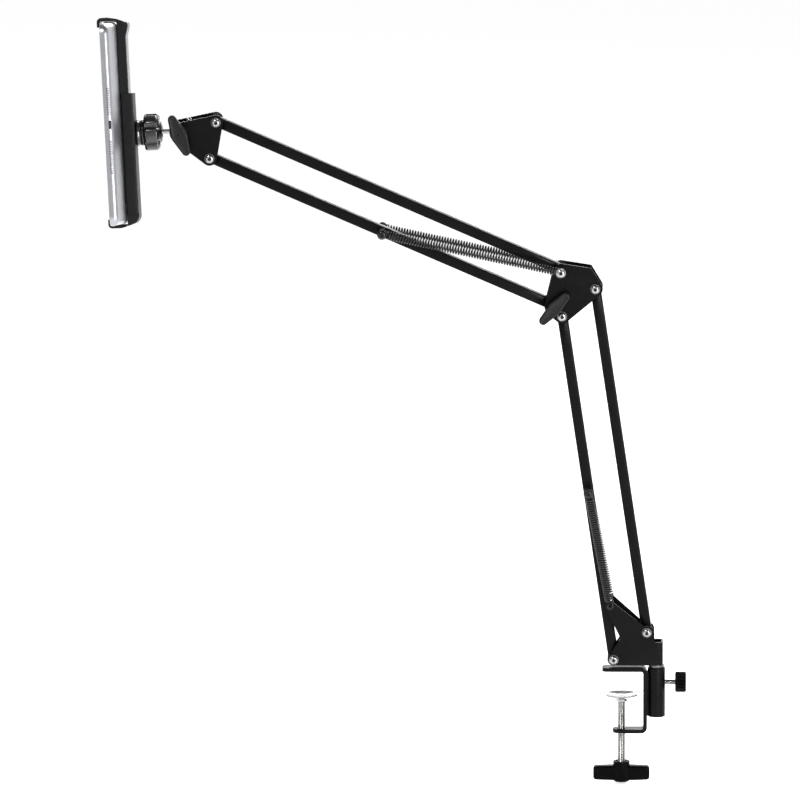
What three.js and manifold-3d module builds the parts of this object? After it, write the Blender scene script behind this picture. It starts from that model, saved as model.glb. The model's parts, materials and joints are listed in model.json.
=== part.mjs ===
// A tablet prompter: a spring-balanced scissor arm on a desk clamp, with a ball-jointed tablet holder.
// Millimetres, +Z up. The origin is on the clamp screw's axis, on the underside of the clamp's top jaw.
// The arm folds in the XZ plane and reaches towards -X, and -Y is the side with the bolt heads and knobs.
import * as THREE from "three";
import { mergeVertices } from "three/addons/utils/BufferGeometryUtils.js";
import Module from "manifold-3d";

const wasm = await Module();
wasm.setup();

// ---------------------------------------------------------------- driving dimensions
const GAP = 0.3; // left between pieces that touch
const ARC_STEP = Math.PI / 8; // on rounded outlines
const ROUND = 16; // sides of small round parts
const WIDE_ROUND = 28; // sides of larger ones

// Pivots of the two parallelograms, as [x, z]
const LOWER_ARM = [-52.0, 350.6];
const UPPER_ARM = [-344.6, 150.4];
const BASE_LEFT = [-7.8, 12.8];
const BASE_RIGHT = [25.3, 40.6];
const ELBOW_LEFT = plus(BASE_LEFT, LOWER_ARM);
const ELBOW_RIGHT = plus(BASE_RIGHT, LOWER_ARM);
const ELBOW_LOW = [-67.4, 372.9];
const ELBOW_TOP = [-61.1, 409.5];
const ELBOW_CORNER = [-32, 410.5]; // the free corner of the elbow plates
const HEAD_LOW = plus(ELBOW_LOW, UPPER_ARM);
const HEAD_TOP = plus(ELBOW_TOP, UPPER_ARM);
const HEAD_TILT = [-442, 549.2];
const BALL = [-468, 548];
// Where the springs hang on the arms, as shares of each arm's length
const LOWER_HANG = 0.49;
const UPPER_HANG = 0.5;

const TUBE = { side: 10.5, wall: 1.1 };
const SHEET = 1.6; // thickness of the steel plates
const PLATE_IN = 8.2; // inner face of each plate, from the arm's plane
const PLATE_OUT = PLATE_IN + SHEET;
const SHANK_R = 2.4; // M5 bolts
const NUT = { r: 4.6, height: 4, sides: 6 };
const HOLE_R = SHANK_R + GAP;
const BOLT_HEAD = { r: 4.5, height: 3.2, washerR: 5.6, washer: 0.9 };
const SPRING = { y: 18, r: 4.3, inset: 8 };
const KNOB_SKIN = 2.2; // thickness of a knob's face over its bolt's tip
const CLAMP_HEAD = { r: 5.4, shoulderR: 4.2, height: 3.2 };
const ELBOW_KNOB = { half: 20.7, waist: 6.6, angle: 47.7, near: -14.6, far: -22 };
const HEAD_KNOB = { half: 21.8, waist: 8.2, angle: -66.5, near: -20.6, far: -27.4 };
const SLEEVE = 0.4; // a spring's outer shape is a thin sleeve, as light as its wire
const STUD_END = 24; // half length of the studs that the springs hang on

// Clamp
const STRIP = { width: 17.6, thick: 3.8 };
const JAW_TIP = -19.3;
const LEG_OUT = 25.6;
const LOWER_ARM_TOP = -59.2;
const CORNER_R = 6;
const SOCKET = { x: 34.95, r: 8.75, bore: 5.1, top: 3.4, bottom: -46.5 };
const PIN = { r: 4.7, top: 28, bottom: -46, collarR: 7.6 };
const BRACKET = { bottom: 6.9, right: 41.5, webTop: 30.5, corner: 4 };
// splay: how far the ear leans out of the bracket's plane, per mm of height
const EAR = { at: [-11.3, 69], r: 5, hole: 1.6, splay: 0.235 };
const SCREW = { r: 3.8, top: -26.6, bottom: -104 };
const DISC = { r: 16.8, top: -24, rim: 1.4, hubR: 6.2, bottom: -31.5 };
const HANDLE = { top: -92.5, bottom: -113.5, bossR: 8.3, half: 28.2, wingTop: -97, wingThick: 11 };
const THUMB = { z: -11.7, shankR: 2.6, knobR: 10.3, from: 53.7, length: 11, depth: 7, lobes: 10 };

// Tablet holder, in its own frame: x away from the screen, z up the tablet, origin at the ball's centre
const LEAN = THREE.MathUtils.degToRad(-3.6); // about Y: the tablet's top leans away from the arm
const YAW = THREE.MathUtils.degToRad(-1.9); // about Z: the screen is turned a little to the front
const ROLL = THREE.MathUtils.degToRad(-10.5); // about the socket's axis
const BALL_R = 7.5;
const ROD_R = 2.6;
const CUP = { inner: 7.8, outer: 9.3, lip: -1 };
const HOUSING = { back: -17.3, shoulder: -9.1, front: 2.0, neckR: 13.2, threadR: 10.6, bore: 9.6 };
const RING = { back: -8.8, front: 7, r: 18, bore: 10.9, noseR: 11, nose: 9, mouth: 6.8 };
const HOLDER = { back: -17.6, front: -29.3, half: 23, top: 40, bottom: -80 };
const SLOT = { half: 17.4, depth: -21.2, bottom: -60 };
const SLIDE = { back: -21.5, front: -30.3, half: 17, bottom: -35, top: 103 };
const CLAW_HALF = 17;
const TABLET = { front: -39.6, back: -30.6, half: 140, bottom: -90, top: 111, corner: 10 };
const EDGE_X = -35; // the slots and buttons in the tablet's edges are centred on this x
const PORT_Z = (TABLET.top + TABLET.bottom) / 2;
const POWER = [86, 98]; // the power button's slot, in z
const VOLUME = [98, 120]; // the volume rocker's slot, in y
const DISPLAY = { half: 128, margin: 10 };
const PAD = 1.2; // thickness of the rubber pads
const PIVOT_SCREW = { r: 2.5, headR: 5, head: -21, under: -19.4, tip: -11.8 };

// ---------------------------------------------------------------- materials
const finish = (color, roughness, metalness) =>
  new THREE.MeshStandardMaterial({ color, roughness, metalness });
const blackPaint = finish(0x1c1c1d, 0.45, 0.1);
const blackPlastic = finish(0x2b2b2d, 0.6, 0);
const glossPlastic = finish(0x1a1a1b, 0.2, 0);
const chrome = finish(0xd8d8d6, 0.15, 1);
const darkSteel = finish(0x6e6e70, 0.35, 1);
const springSteel = finish(0x252526, 0.35, 0.8);
const rubber = finish(0x161616, 0.9, 0);
const aluminium = finish(0xc9cacc, 0.4, 1);
const glass = finish(0x0a0b0d, 0.05, 0);
const lcd = finish(0x101216, 0.3, 0);
const battery = finish(0x303235, 0.7, 0);
const board = finish(0x1e4a33, 0.6, 0);

// ---------------------------------------------------------------- points and outlines
function plus(a, b) {
  return [a[0] + b[0], a[1] + b[1]];
}

function along(from, to, share) {
  return [from[0] + (to[0] - from[0]) * share, from[1] + (to[1] - from[1]) * share];
}

function arc([x, z], r, from, to) {
  const steps = Math.max(2, Math.ceil(Math.abs(to - from) / ARC_STEP));
  return Array.from({ length: steps + 1 }, (_, i) => {
    const angle = from + ((to - from) * i) / steps;
    return [x + r * Math.cos(angle), z + r * Math.sin(angle)];
  });
}

const circle = (centre, r) => arc(centre, r, 0, 2 * Math.PI).slice(0, -1);

// The convex outline around circles given as [x, z, r]
function beltAround(circles) {
  const points = circles.flatMap(([x, z, r]) => circle([x, z], r));
  points.sort((a, b) => a[0] - b[0] || a[1] - b[1]);
  const turn = (o, a, b) => (a[0] - o[0]) * (b[1] - o[1]) - (a[1] - o[1]) * (b[0] - o[0]);
  const half = (list) => {
    const out = [];
    for (const p of list) {
      while (out.length > 1 && turn(out.at(-2), out.at(-1), p) <= 1e-9) out.pop();
      out.push(p);
    }
    return out.slice(0, -1);
  };
  return [...half(points), ...half(points.reverse())];
}

function roundedRect(x0, x1, y0, y1, r) {
  const quarter = Math.PI / 2;
  return [
    ...arc([x1 - r, y0 + r], r, -quarter, 0),
    ...arc([x1 - r, y1 - r], r, 0, quarter),
    ...arc([x0 + r, y1 - r], r, quarter, 2 * quarter),
    ...arc([x0 + r, y0 + r], r, 2 * quarter, 3 * quarter),
  ];
}

// ---------------------------------------------------------------- solids
const shapeOf = (points) => new THREE.Shape(points.map(([x, y]) => new THREE.Vector2(x, y)));

function extrude(points, depth) {
  return new THREE.ExtrudeGeometry(shapeOf(points), { depth, bevelEnabled: false });
}

// A prism of an XZ outline between two values of y
const prismY = (points, y0, y1) =>
  solid(extrude(points, y1 - y0).rotateX(Math.PI / 2).translate(0, y1, 0));

// A prism of an XY outline between two values of z
const prismZ = (points, z0, z1) => solid(extrude(points, z1 - z0).translate(0, 0, z0));

// A prism of a YZ outline between two values of x
const prismX = (points, x0, x1) =>
  solid(extrude(points, x1 - x0).rotateX(Math.PI / 2).rotateZ(Math.PI / 2).translate(x0, 0, 0));

const block = (x0, x1, y0, y1, z0, z1) =>
  solid(
    new THREE.BoxGeometry(x1 - x0, y1 - y0, z1 - z0)
      .translate((x0 + x1) / 2, (y0 + y1) / 2, (z0 + z1) / 2),
  );

// Round about the Y axis through [x, z]: a profile of [radius, y]
const turnedY = ([x, z], profile, sides = ROUND) =>
  solid(lathe(profile, sides).translate(x, 0, z));

// Round about the Z axis through [x, y]: a profile of [radius, z]
const turnedZ = ([x, y], profile, sides = ROUND) =>
  solid(lathe(profile, sides).rotateX(Math.PI / 2).scale(1, -1, 1).translate(x, y, 0), true);

// Round about the X axis through [y, z]: a profile of [radius, x]
const turnedX = ([y, z], profile, sides = ROUND) =>
  solid(lathe(profile, sides).rotateZ(-Math.PI / 2).translate(0, y, z));

const pegY = (at, r, y0, y1, sides = ROUND) => turnedY(at, [[r, y0], [r, y1]], sides);
const pegZ = (at, r, z0, z1, sides = ROUND) => turnedZ(at, [[r, z0], [r, z1]], sides);
const pegX = (at, r, x0, x1, sides = ROUND) => turnedX(at, [[r, x0], [r, x1]], sides);

function lathe(profile, sides) {
  const closed = [[0, profile[0][1]], ...profile, [0, profile.at(-1)[1]]];
  return new THREE.LatheGeometry(closed.map(([r, y]) => new THREE.Vector2(r, y)), sides);
}

function solid(geometry, mirrored = false) {
  const bare = geometry.clone();
  bare.deleteAttribute("normal");
  bare.deleteAttribute("uv");
  const merged = mergeVertices(bare, 1e-5);
  const index = Array.from(merged.index.array);
  const triangles = [];
  for (let i = 0; i < index.length; i += 3) {
    const [a, b, c] = index.slice(i, i + 3);
    if (a === b || b === c || a === c) continue;
    triangles.push(...(mirrored ? [a, c, b] : [a, b, c]));
  }
  const made = new wasm.Manifold(
    new wasm.Mesh({
      numProp: 3,
      vertProperties: Float32Array.from(merged.attributes.position.array),
      triVerts: Uint32Array.from(triangles),
    }),
  );
  // A profile listed from high to low is wound the other way round
  return made.volume() < 0 ? solid(geometry, !mirrored) : made;
}

const join = (...solids) => solids.reduce((a, b) => a.add(b));
const cut = (from, ...tools) => tools.reduce((a, b) => a.subtract(b), from);

function geometryOf(manifold) {
  const mesh = manifold.getMesh();
  const geometry = new THREE.BufferGeometry();
  geometry.setAttribute("position", new THREE.BufferAttribute(Float32Array.from(mesh.vertProperties), 3));
  geometry.setIndex(new THREE.BufferAttribute(Uint32Array.from(mesh.triVerts), 1));
  geometry.computeVertexNormals();
  return geometry;
}

const prompter = new THREE.Group();

function add(name, manifold, material, parent = prompter) {
  const mesh = new THREE.Mesh(geometryOf(manifold), material);
  mesh.name = name;
  parent.add(mesh);
}

// ---------------------------------------------------------------- clamp
function clampBracket() {
  const half = STRIP.width / 2;
  const inner = LEG_OUT - STRIP.thick;
  const bottom = LOWER_ARM_TOP - STRIP.thick;
  const top = STRIP.thick;
  const side = [
    [0, 0],
    [inner, 0],
    [inner, LOWER_ARM_TOP],
    [0, LOWER_ARM_TOP],
    [0, bottom],
    ...arc([LEG_OUT - CORNER_R, bottom + CORNER_R], CORNER_R, -Math.PI / 2, 0),
    ...arc([LEG_OUT - CORNER_R, top - CORNER_R], CORNER_R, 0, Math.PI / 2),
    [0, top],
  ];
  const jaw = prismZ(roundedRect(JAW_TIP, 1, -half, half, 5), 0, top);
  const ring = prismZ(circle([0, 0], half), bottom, LOWER_ARM_TOP);
  const bent = join(prismY(side, -half, half), jaw, ring);
  return cut(bent, pegZ([0, 0], SCREW.r + GAP, bottom - 1, LOWER_ARM_TOP + 1));
}

function socketTube() {
  const at = [SOCKET.x, 0];
  const tube = cut(
    pegZ(at, SOCKET.r, SOCKET.bottom, SOCKET.top, WIDE_ROUND),
    pegZ(at, SOCKET.bore, SOCKET.bottom - 1, SOCKET.top + 1, WIDE_ROUND),
  );
  const beyond = SOCKET.x + SOCKET.r + 1;
  return cut(tube, pegX([0, THUMB.z], THUMB.shankR + GAP, SOCKET.x, beyond));
}

function pressureDisc() {
  return cut(
    turnedZ([0, 0], [
      [DISC.hubR - 1, DISC.bottom],
      [DISC.hubR, DISC.bottom + 1],
      [DISC.hubR + 1, DISC.top - 4.2],
      [DISC.r, DISC.top - DISC.rim],
      [DISC.r, DISC.top],
      [DISC.r - 1.5, DISC.top],
      [DISC.hubR, DISC.top - 1.6],
    ], WIDE_ROUND),
    turnedZ([0, 0], [[SCREW.r + 0.9, DISC.bottom - 1], [SCREW.r + 0.9, SCREW.top + GAP]]),
  );
}

function clampScrew() {
  return turnedZ([0, 0], [
    [SCREW.r, SCREW.bottom],
    [SCREW.r, SCREW.top - 1.6],
    [SCREW.r - 1, SCREW.top],
  ]);
}

function clampHandle() {
  const { top, bottom, bossR, half, wingTop, wingThick } = HANDLE;
  const tip = 5;
  const wing = prismY([
    ...arc([half - tip, wingTop - tip], tip, Math.PI / 2, 0),
    ...arc([half - tip, bottom + 1.5 + tip], tip, 0, -Math.PI / 2),
    [0, bottom + 3.5],
    ...arc([tip - half, bottom + 1.5 + tip], tip, -Math.PI / 2, -Math.PI),
    ...arc([tip - half, wingTop - tip], tip, Math.PI, Math.PI / 2),
    [-bossR, wingTop - 3],
    [bossR, wingTop - 3],
  ].reverse(), -wingThick / 2, wingThick / 2);
  const boss = turnedZ([0, 0], [[bossR - 1, bottom], [bossR, bottom + 1], [bossR, top]]);
  const recess = turnedZ([0, 0], [[bossR - 2, top - 1.5], [bossR - 2, top + 1]]);
  const socket = pegZ([0, 0], SCREW.r + GAP, SCREW.bottom - GAP, top + 1);
  return cut(join(wing, boss), recess, socket);
}

function scalloped(r, lobes, depth) {
  const steps = lobes * 6;
  return Array.from({ length: steps }, (_, i) => {
    const angle = (2 * Math.PI * i) / steps;
    const radius = r - depth * (0.5 - 0.5 * Math.cos(lobes * angle));
    return [radius * Math.cos(angle), radius * Math.sin(angle)];
  });
}

function thumbscrewShank() {
  return pegX([0, THUMB.z], THUMB.shankR, SOCKET.x + PIN.r + 2 * GAP, THUMB.from + THUMB.depth);
}

function thumbscrewKnob() {
  const grip = prismX(scalloped(THUMB.knobR, THUMB.lobes, 1.2), THUMB.from, THUMB.from + THUMB.length);
  const hole = pegX([0, 0], THUMB.shankR + GAP, THUMB.from - 1, THUMB.from + THUMB.depth + GAP);
  return cut(grip, hole).translate(0, 0, THUMB.z);
}

// ---------------------------------------------------------------- fasteners
// A pan-head bolt along Y with a washer under its head and a nut on its far end
function bolt(at) {
  const { r, height, washerR, washer } = BOLT_HEAD;
  const face = PLATE_OUT + GAP;
  const under = -face - washer;
  const body = turnedY(at, [
    [r * 0.62, under - height],
    [r, under - height * 0.55],
    [r, under],
    [washerR, under],
    [washerR, -face],
    [SHANK_R, -face],
    [SHANK_R, face + NUT.height + 2],
  ]);
  return join(body, nut(at, face));
}

// A hexagon nut along Y, from y upwards
const nut = (at, y, height = NUT.height) => pegY(at, NUT.r, y, y + height, NUT.sides);

// A long bolt whose two ends stand out beside the arm, for the springs to hook on
function springAnchor(at, collar) {
  const end = STUD_END;
  const body = turnedY(at, [
    [BOLT_HEAD.r * 0.6, -end],
    [BOLT_HEAD.r, -end + 1.2],
    [BOLT_HEAD.r, -end + 2.6],
    [SHANK_R, -end + 2.6],
    [SHANK_R, end],
  ]);
  const thin = NUT.height * 0.7;
  return join(body, nut(at, -collar - NUT.height), nut(at, collar), nut(at, end - thin - 0.6, thin));
}

// The bolt that a wing knob clamps, with a low round head on the far plate
function clampBolt(at, knob) {
  return turnedY(at, [
    [SHANK_R, knob.far + KNOB_SKIN + GAP],
    [SHANK_R, PLATE_OUT + GAP],
    [CLAMP_HEAD.r, PLATE_OUT + GAP],
    [CLAMP_HEAD.shoulderR, PLATE_OUT + CLAMP_HEAD.height - 0.6],
    [CLAMP_HEAD.shoulderR / 2, PLATE_OUT + CLAMP_HEAD.height],
  ]);
}

// A lozenge-shaped wing knob, whose paddle lies in the XZ plane and turns about Y
function wingKnob(at, { half, waist, angle, near, far }) {
  const tip = 4.2;
  const lozenge = (inset) => beltAround([
    [half - tip, 0, tip - inset],
    [0, 0, waist - inset],
    [tip - half, 0, tip - inset],
  ]);
  const paddle = prismY(lozenge(0), far, near);
  const face = prismY(lozenge(1.4), far - 1.2, far + 1);
  const hub = pegY([0, 0], waist - 0.8, near - 1, -PLATE_OUT - GAP);
  const hole = pegY([0, 0], HOLE_R, far + KNOB_SKIN, 0);
  return cut(join(paddle, face, hub), hole).rotate([0, -angle, 0]).translate(at[0], 0, at[1]);
}

// ---------------------------------------------------------------- arm
// A square tube between two pivots, with rounded ends and open through its length
function armTube(from, to, extraHoles = []) {
  const half = TUBE.side / 2;
  const length = Math.hypot(to[0] - from[0], to[1] - from[1]);
  const angle = Math.atan2(to[1] - from[1], to[0] - from[0]);
  const outer = prismY(beltAround([[0, 0, half], [length, 0, half]]), -half, half);
  const bore = half - TUBE.wall;
  const inner = block(-TUBE.side, length + TUBE.side, -bore, bore, -bore, bore);
  const holes = [0, length, ...extraHoles].map((x) => pegY([x, 0], HOLE_R, -half - 1, half + 1));
  return cut(outer, inner, ...holes)
    .rotate([0, -THREE.MathUtils.radToDeg(angle), 0])
    .translate(from[0], 0, from[1]);
}

// The outer shape of a spring that runs beside the arm between two hooks
function springBody(from, to, y) {
  const length = Math.hypot(to[0] - from[0], to[1] - from[1]);
  const angle = Math.atan2(to[1] - from[1], to[0] - from[0]);
  const start = SPRING.inset;
  const end = length - SPRING.inset;
  return cut(pegX([0, 0], SPRING.r, start, end), pegX([0, 0], SPRING.r - SLEEVE, start - 1, end + 1))
    .rotate([0, -THREE.MathUtils.radToDeg(angle), 0])
    .translate(from[0], y, from[1]);
}

const lowerAnchor = along(BASE_LEFT, ELBOW_LEFT, LOWER_HANG);
const upperAnchor = along(ELBOW_LOW, HEAD_LOW, UPPER_HANG);

// The folded steel cheeks at the foot: a U of sheet, whose upper corners splay out to the springs
function baseBracket() {
  const notch = [-1, 34.8];
  const fold = [22, 46];
  const { bottom, right, webTop, corner } = BRACKET;
  const lean = Math.atan2(fold[1] - notch[1], fold[0] - notch[0]);
  const cheek = [
    ...arc(BASE_LEFT, 5.9, Math.PI * 0.8, Math.PI * 1.4),
    [BASE_LEFT[0], bottom],
    [right, bottom],
    [right, webTop],
    [BASE_RIGHT[0] + 7.6, webTop],
    ...arc(BASE_RIGHT, 7.6, 0, Math.PI * 0.27),
    fold,
    notch,
  ];
  const ear = beltAround([[...EAR.at, EAR.r], [notch[0] + 1, notch[1], 1], [fold[0], fold[1] - 1, 2]]);
  const shear = new THREE.Matrix4().set(
    1, 0, 0, 0,
    -EAR.splay * Math.sin(lean), 1, EAR.splay * Math.cos(lean), 0,
    0, 0, 1, 0,
    0, 0, 0, 1,
  );
  const start = EAR.splay * (notch[0] * Math.sin(lean) - notch[1] * Math.cos(lean));
  const half = (side) => {
    const [inner, outer] = side > 0 ? [PLATE_IN, PLATE_OUT] : [-PLATE_OUT, -PLATE_IN];
    const flat = prismY(cheek, inner, outer);
    const raised = prismY(ear, PLATE_IN, PLATE_OUT)
      .transform(shear.elements)
      .translate(0, start, 0)
      .subtract(pegY(EAR.at, EAR.hole, 0, 40, 16));
    const above = halfPlane(notch, lean).intersect(side > 0 ? raised : raised.mirror([0, 1, 0]));
    return join(flat, above);
  };
  const bend = right - corner;
  const bendY = PLATE_OUT - corner;
  const web = prismZ([
    ...arc([bend, -bendY], corner, -Math.PI / 2, 0),
    ...arc([bend, bendY], corner, 0, Math.PI / 2),
    [bend - 1, PLATE_OUT],
    [bend - 1, PLATE_IN],
    ...arc([bend, bendY], corner - SHEET, Math.PI / 2, 0),
    ...arc([bend, -bendY], corner - SHEET, 0, -Math.PI / 2),
    [bend - 1, -PLATE_IN],
    [bend - 1, -PLATE_OUT],
  ], bottom, webTop);
  const squareCorners = block(bend, right + 1, -20, 20, 0, 60);
  const cheeks = [1, -1].map((side) => cut(half(side), squareCorners));
  const holes = [BASE_LEFT, BASE_RIGHT].map((at) => pegY(at, HOLE_R, -20, 20));
  return cut(join(...cheeks, web), ...holes);
}

// A large block that keeps what lies on the upper side of a sloping line
function halfPlane(point, lean) {
  return block(-200, 200, -100, 100, -0.4, 200)
    .rotate([0, -THREE.MathUtils.radToDeg(lean), 0])
    .translate(point[0], 0, point[1]);
}

function basePin() {
  return turnedZ([SOCKET.x, 0], [
    [PIN.r - 0.8, PIN.bottom],
    [PIN.r, PIN.bottom + 1],
    [PIN.r, SOCKET.top + GAP],
    [PIN.collarR, SOCKET.top + GAP],
    [PIN.collarR, BRACKET.bottom - GAP],
    [PIN.r, BRACKET.bottom - GAP],
    [PIN.r, PIN.top],
  ], 20);
}

function elbowPlate(side) {
  const outline = beltAround([
    [...ELBOW_TOP, 7.5],
    [...ELBOW_LOW, 10],
    [...ELBOW_LEFT, 7.5],
    [...ELBOW_RIGHT, 7.5],
    [...ELBOW_CORNER, 2],
  ]);
  return plateWithHoles(outline, side, [ELBOW_TOP, ELBOW_LOW, ELBOW_LEFT, ELBOW_RIGHT]);
}

function headPlate(side) {
  const outline = beltAround([[...HEAD_TOP, 7.2], [...HEAD_LOW, 7.5], [...HEAD_TILT, 10]]);
  return plateWithHoles(outline, side, [HEAD_TOP, HEAD_LOW, HEAD_TILT]);
}

function plateWithHoles(outline, side, centres) {
  const [from, to] = side > 0 ? [PLATE_IN, PLATE_OUT] : [-PLATE_OUT, -PLATE_IN];
  return cut(prismY(outline, from, to), ...centres.map((at) => pegY(at, HOLE_R, from - 1, to + 1)));
}

// ---------------------------------------------------------------- head
const rodAngle = Math.atan2(BALL[1] - HEAD_TILT[1], BALL[0] - HEAD_TILT[0]);
const rodLength = Math.hypot(BALL[0] - HEAD_TILT[0], BALL[1] - HEAD_TILT[1]);
// turns a piece drawn along +X from the tilt axis to lie along the rod
const alongRod = (piece) =>
  piece.rotate([0, -THREE.MathUtils.radToDeg(rodAngle), 0]).translate(HEAD_TILT[0], 0, HEAD_TILT[1]);
const BLOCK = { half: 7.6, r: 8, bossR: 5, boss: 9.8, tail: 15, tailR: 4, seat: 5 };
const SMALL_SCREW = { x: -10.5, r: 1.3, headR: 2.6, inner: 1, under: -8.2, top: -11.6 };

function tiltBlock() {
  const { half, r, bossR, boss, tail, tailR, seat } = BLOCK;
  const { x, r: screwR, inner } = SMALL_SCREW;
  const body = prismY(beltAround([[0, 0, r], [tailR - tail, 0, tailR]]), -half, half);
  const boltHole = pegY([0, 0], HOLE_R, -half - 1, half + 1);
  const rodHole = pegX([0, 0], ROD_R + GAP, seat - GAP, boss + 1);
  const screwHole = pegZ([x, 0], screwR + GAP, -r, inner + 0.5);
  return alongRod(cut(join(body, pegX([0, 0], bossR, 0, boss)), boltHole, rodHole, screwHole));
}

// The small screw on the upper side of the tilt block
function blockScrew() {
  const { x, r, headR, inner, under, top } = SMALL_SCREW;
  return alongRod(turnedZ([x, 0], [
    [headR - 1, top],
    [headR, top + 1],
    [headR, under],
    [r, under],
    [r, inner],
  ]));
}

function ballStud() {
  const rod = pegX([0, 0], ROD_R, BLOCK.seat, rodLength - BALL_R + 1);
  const ball = solid(new THREE.SphereGeometry(BALL_R, 16, 12).rotateZ(Math.PI / 2))
    .translate(rodLength, 0, 0);
  return alongRod(join(rod, ball));
}

// ---------------------------------------------------------------- ball socket, in the holder's frame
// A profile of [x, radius] points on a sphere about the ball's centre
function sphereArc(r, fromX, toX, steps) {
  return Array.from({ length: steps + 1 }, (_, i) => {
    const angle = Math.acos(fromX / r) + ((Math.acos(toX / r) - Math.acos(fromX / r)) * i) / steps;
    return [r * Math.sin(angle), r * Math.cos(angle)];
  });
}

function ballCup() {
  const { inner, outer, lip } = CUP;
  const shell = turnedX([0, 0], sphereArc(outer, -outer, lip, 5));
  return cut(shell, turnedX([0, 0], [...sphereArc(inner, -inner, lip, 5), [inner, lip + 2]]));
}

function socketHousing() {
  const { back, shoulder, front, neckR, threadR, bore } = HOUSING;
  const body = turnedX([0, 0], [
    [neckR - 1, back],
    [neckR, back + 1],
    [neckR, shoulder],
    [threadR, shoulder],
    [threadR, front],
  ], WIDE_ROUND);
  const pocket = turnedX([0, 0], [...sphereArc(bore, -bore, 0, 5), [bore, front + 1]]);
  return cut(body, pocket, pegX([0, 0], PIVOT_SCREW.r + GAP, back - 1, PIVOT_SCREW.tip + GAP));
}

function pivotScrew() {
  const { r, headR, head, under, tip } = PIVOT_SCREW;
  return turnedX([0, 0], [[headR, head], [headR, under], [r, under], [r, tip]]);
}

function lockRing() {
  const { back, front, r, bore, noseR, nose, mouth } = RING;
  const grip = prismX(lobedOutline(r), back, front);
  const bevel = turnedX([0, 0], [
    [r - 0.8, back],
    [r + 0.6, back + 1.4],
    [r + 0.6, front - 2],
    [r - 2.4, front],
    [noseR, front],
    [noseR - 2.5, nose],
  ], 36);
  const body = grip.add(pegX([0, 0], noseR, front - 1, nose)).intersect(bevel);
  const hollow = turnedX([0, 0], [
    [bore, back - 1],
    [bore, 2.6],
    [7.7, 2.7],
    [mouth, nose - 0.9],
    [mouth + 0.5, nose + 1],
  ], 20);
  return cut(body, hollow);
}

// Six broad lobes with narrow grooves between them
function lobedOutline(r) {
  const lobes = 6;
  const steps = lobes * 8;
  return Array.from({ length: steps }, (_, i) => {
    const angle = (2 * Math.PI * i) / steps;
    const groove = Math.pow(Math.abs(Math.cos((lobes * angle) / 2)), 12);
    const radius = r - 3.2 * groove;
    return [radius * Math.cos(angle), radius * Math.sin(angle)];
  });
}

// ---------------------------------------------------------------- tablet holder, in its own frame
function holderBody() {
  const { back, front, half, top, bottom } = HOLDER;
  const bar = prismZ(roundedRect(front, back, -half, half, 1.6), bottom, top);
  const claw = prismY([
    [back, bottom + 2],
    ...arc([-26, bottom - 2], 8.6, 0, -Math.PI * 0.42),
    [-36, bottom - 14],
    ...arc([-44.8, bottom - 9.8], 4, -Math.PI * 0.55, -Math.PI),
    [-48.8, bottom - 4.7],
    [-46.2, bottom - 4.7],
    ...arc([-44.2, bottom - 9.4], 2.3, Math.PI, Math.PI * 1.5),
    [front, TABLET.bottom - PAD - 2 * GAP],
    [front, bottom + 2],
  ].reverse(), -CLAW_HALF - 3, CLAW_HALF + 3);
  const slot = block(front - 1, SLOT.depth, -SLOT.half, SLOT.half, SLOT.bottom, top + 1);
  const screwSeat = pegX([0, 0], PIVOT_SCREW.headR + GAP, front - 1, PIVOT_SCREW.under + GAP);
  const screwHole = pegX([0, 0], PIVOT_SCREW.r + GAP, front - 1, back + 1);
  return cut(join(bar, claw), slot, screwSeat, screwHole);
}

function upperJaw() {
  const { back, front, half, bottom, top } = SLIDE;
  const bar = block(front, back, -half, half, bottom, top);
  const claw = prismY([
    [back, top - 6],
    [-18.8, top + 4.5],
    [-19.2, top + 7.6],
    [-30, top + 12],
    [-39.5, top + 13.8],
    ...arc([-45.6, top + 9.4], 4.3, Math.PI * 0.55, Math.PI),
    [-49.9, top + 4],
    [-47.2, top + 4],
    ...arc([-45, top + 7.6], 2.2, Math.PI, Math.PI / 2),
    [front, TABLET.top + PAD + 2 * GAP],
    [front, top - 6],
  ], -CLAW_HALF, CLAW_HALF);
  return join(bar, claw);
}

function jawPad(z0) {
  return block(-43, TABLET.back - 0.4, -15, 15, z0, z0 + PAD);
}

function backPad(side) {
  const y = side * (SLOT.half + HOLDER.half) / 2;
  return block(HOLDER.front - 1, HOLDER.front - GAP, y - 2, y + 2, -70, 36);
}

function holderSpring() {
  const [bottom, top] = [SLOT.bottom + 3, SLIDE.bottom - 2];
  return cut(pegZ([-26, 0], 2.6, bottom, top), pegZ([-26, 0], 2.6 - SLEEVE, bottom - 1, top + 1));
}

const tabletOutline = (inset) => {
  const { half, bottom, top, corner } = TABLET;
  return roundedRect(-half + inset, half - inset, bottom + inset, top - inset, corner - inset);
};

function tabletShell() {
  const { front: face, back } = TABLET;
  const lip = prismX(tabletOutline(0), face + GAP, back - 3.4);
  const soft = prismX(tabletOutline(1), back - 3.5, back - 1.5);
  const flat = prismX(tabletOutline(3.2), back - 1.6, back);
  const glassSeat = prismX(tabletOutline(1.4), face - 1, face + 1.1);
  const pocket = prismX(tabletOutline(3), face, back - 1.7);
  const { half, top } = TABLET;
  const port = edgeSlot(1.6, -half - 1, -half + 6, PORT_Z - 4.3, PORT_Z + 4.3);
  const power = edgeSlot(1.2, half - 6, half + 1, ...POWER);
  const volume = edgeSlot(1.2, ...VOLUME, top - 6, top + 1);
  return cut(join(lip, soft, flat), glassSeat, pocket, port, power, volume);
}

// A block as thick as a slot or button in the tablet's edge: half its thickness, then its y and z
const edgeSlot = (thick, y0, y1, z0, z1) => block(EDGE_X - thick, EDGE_X + thick, y0, y1, z0, z1);

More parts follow.
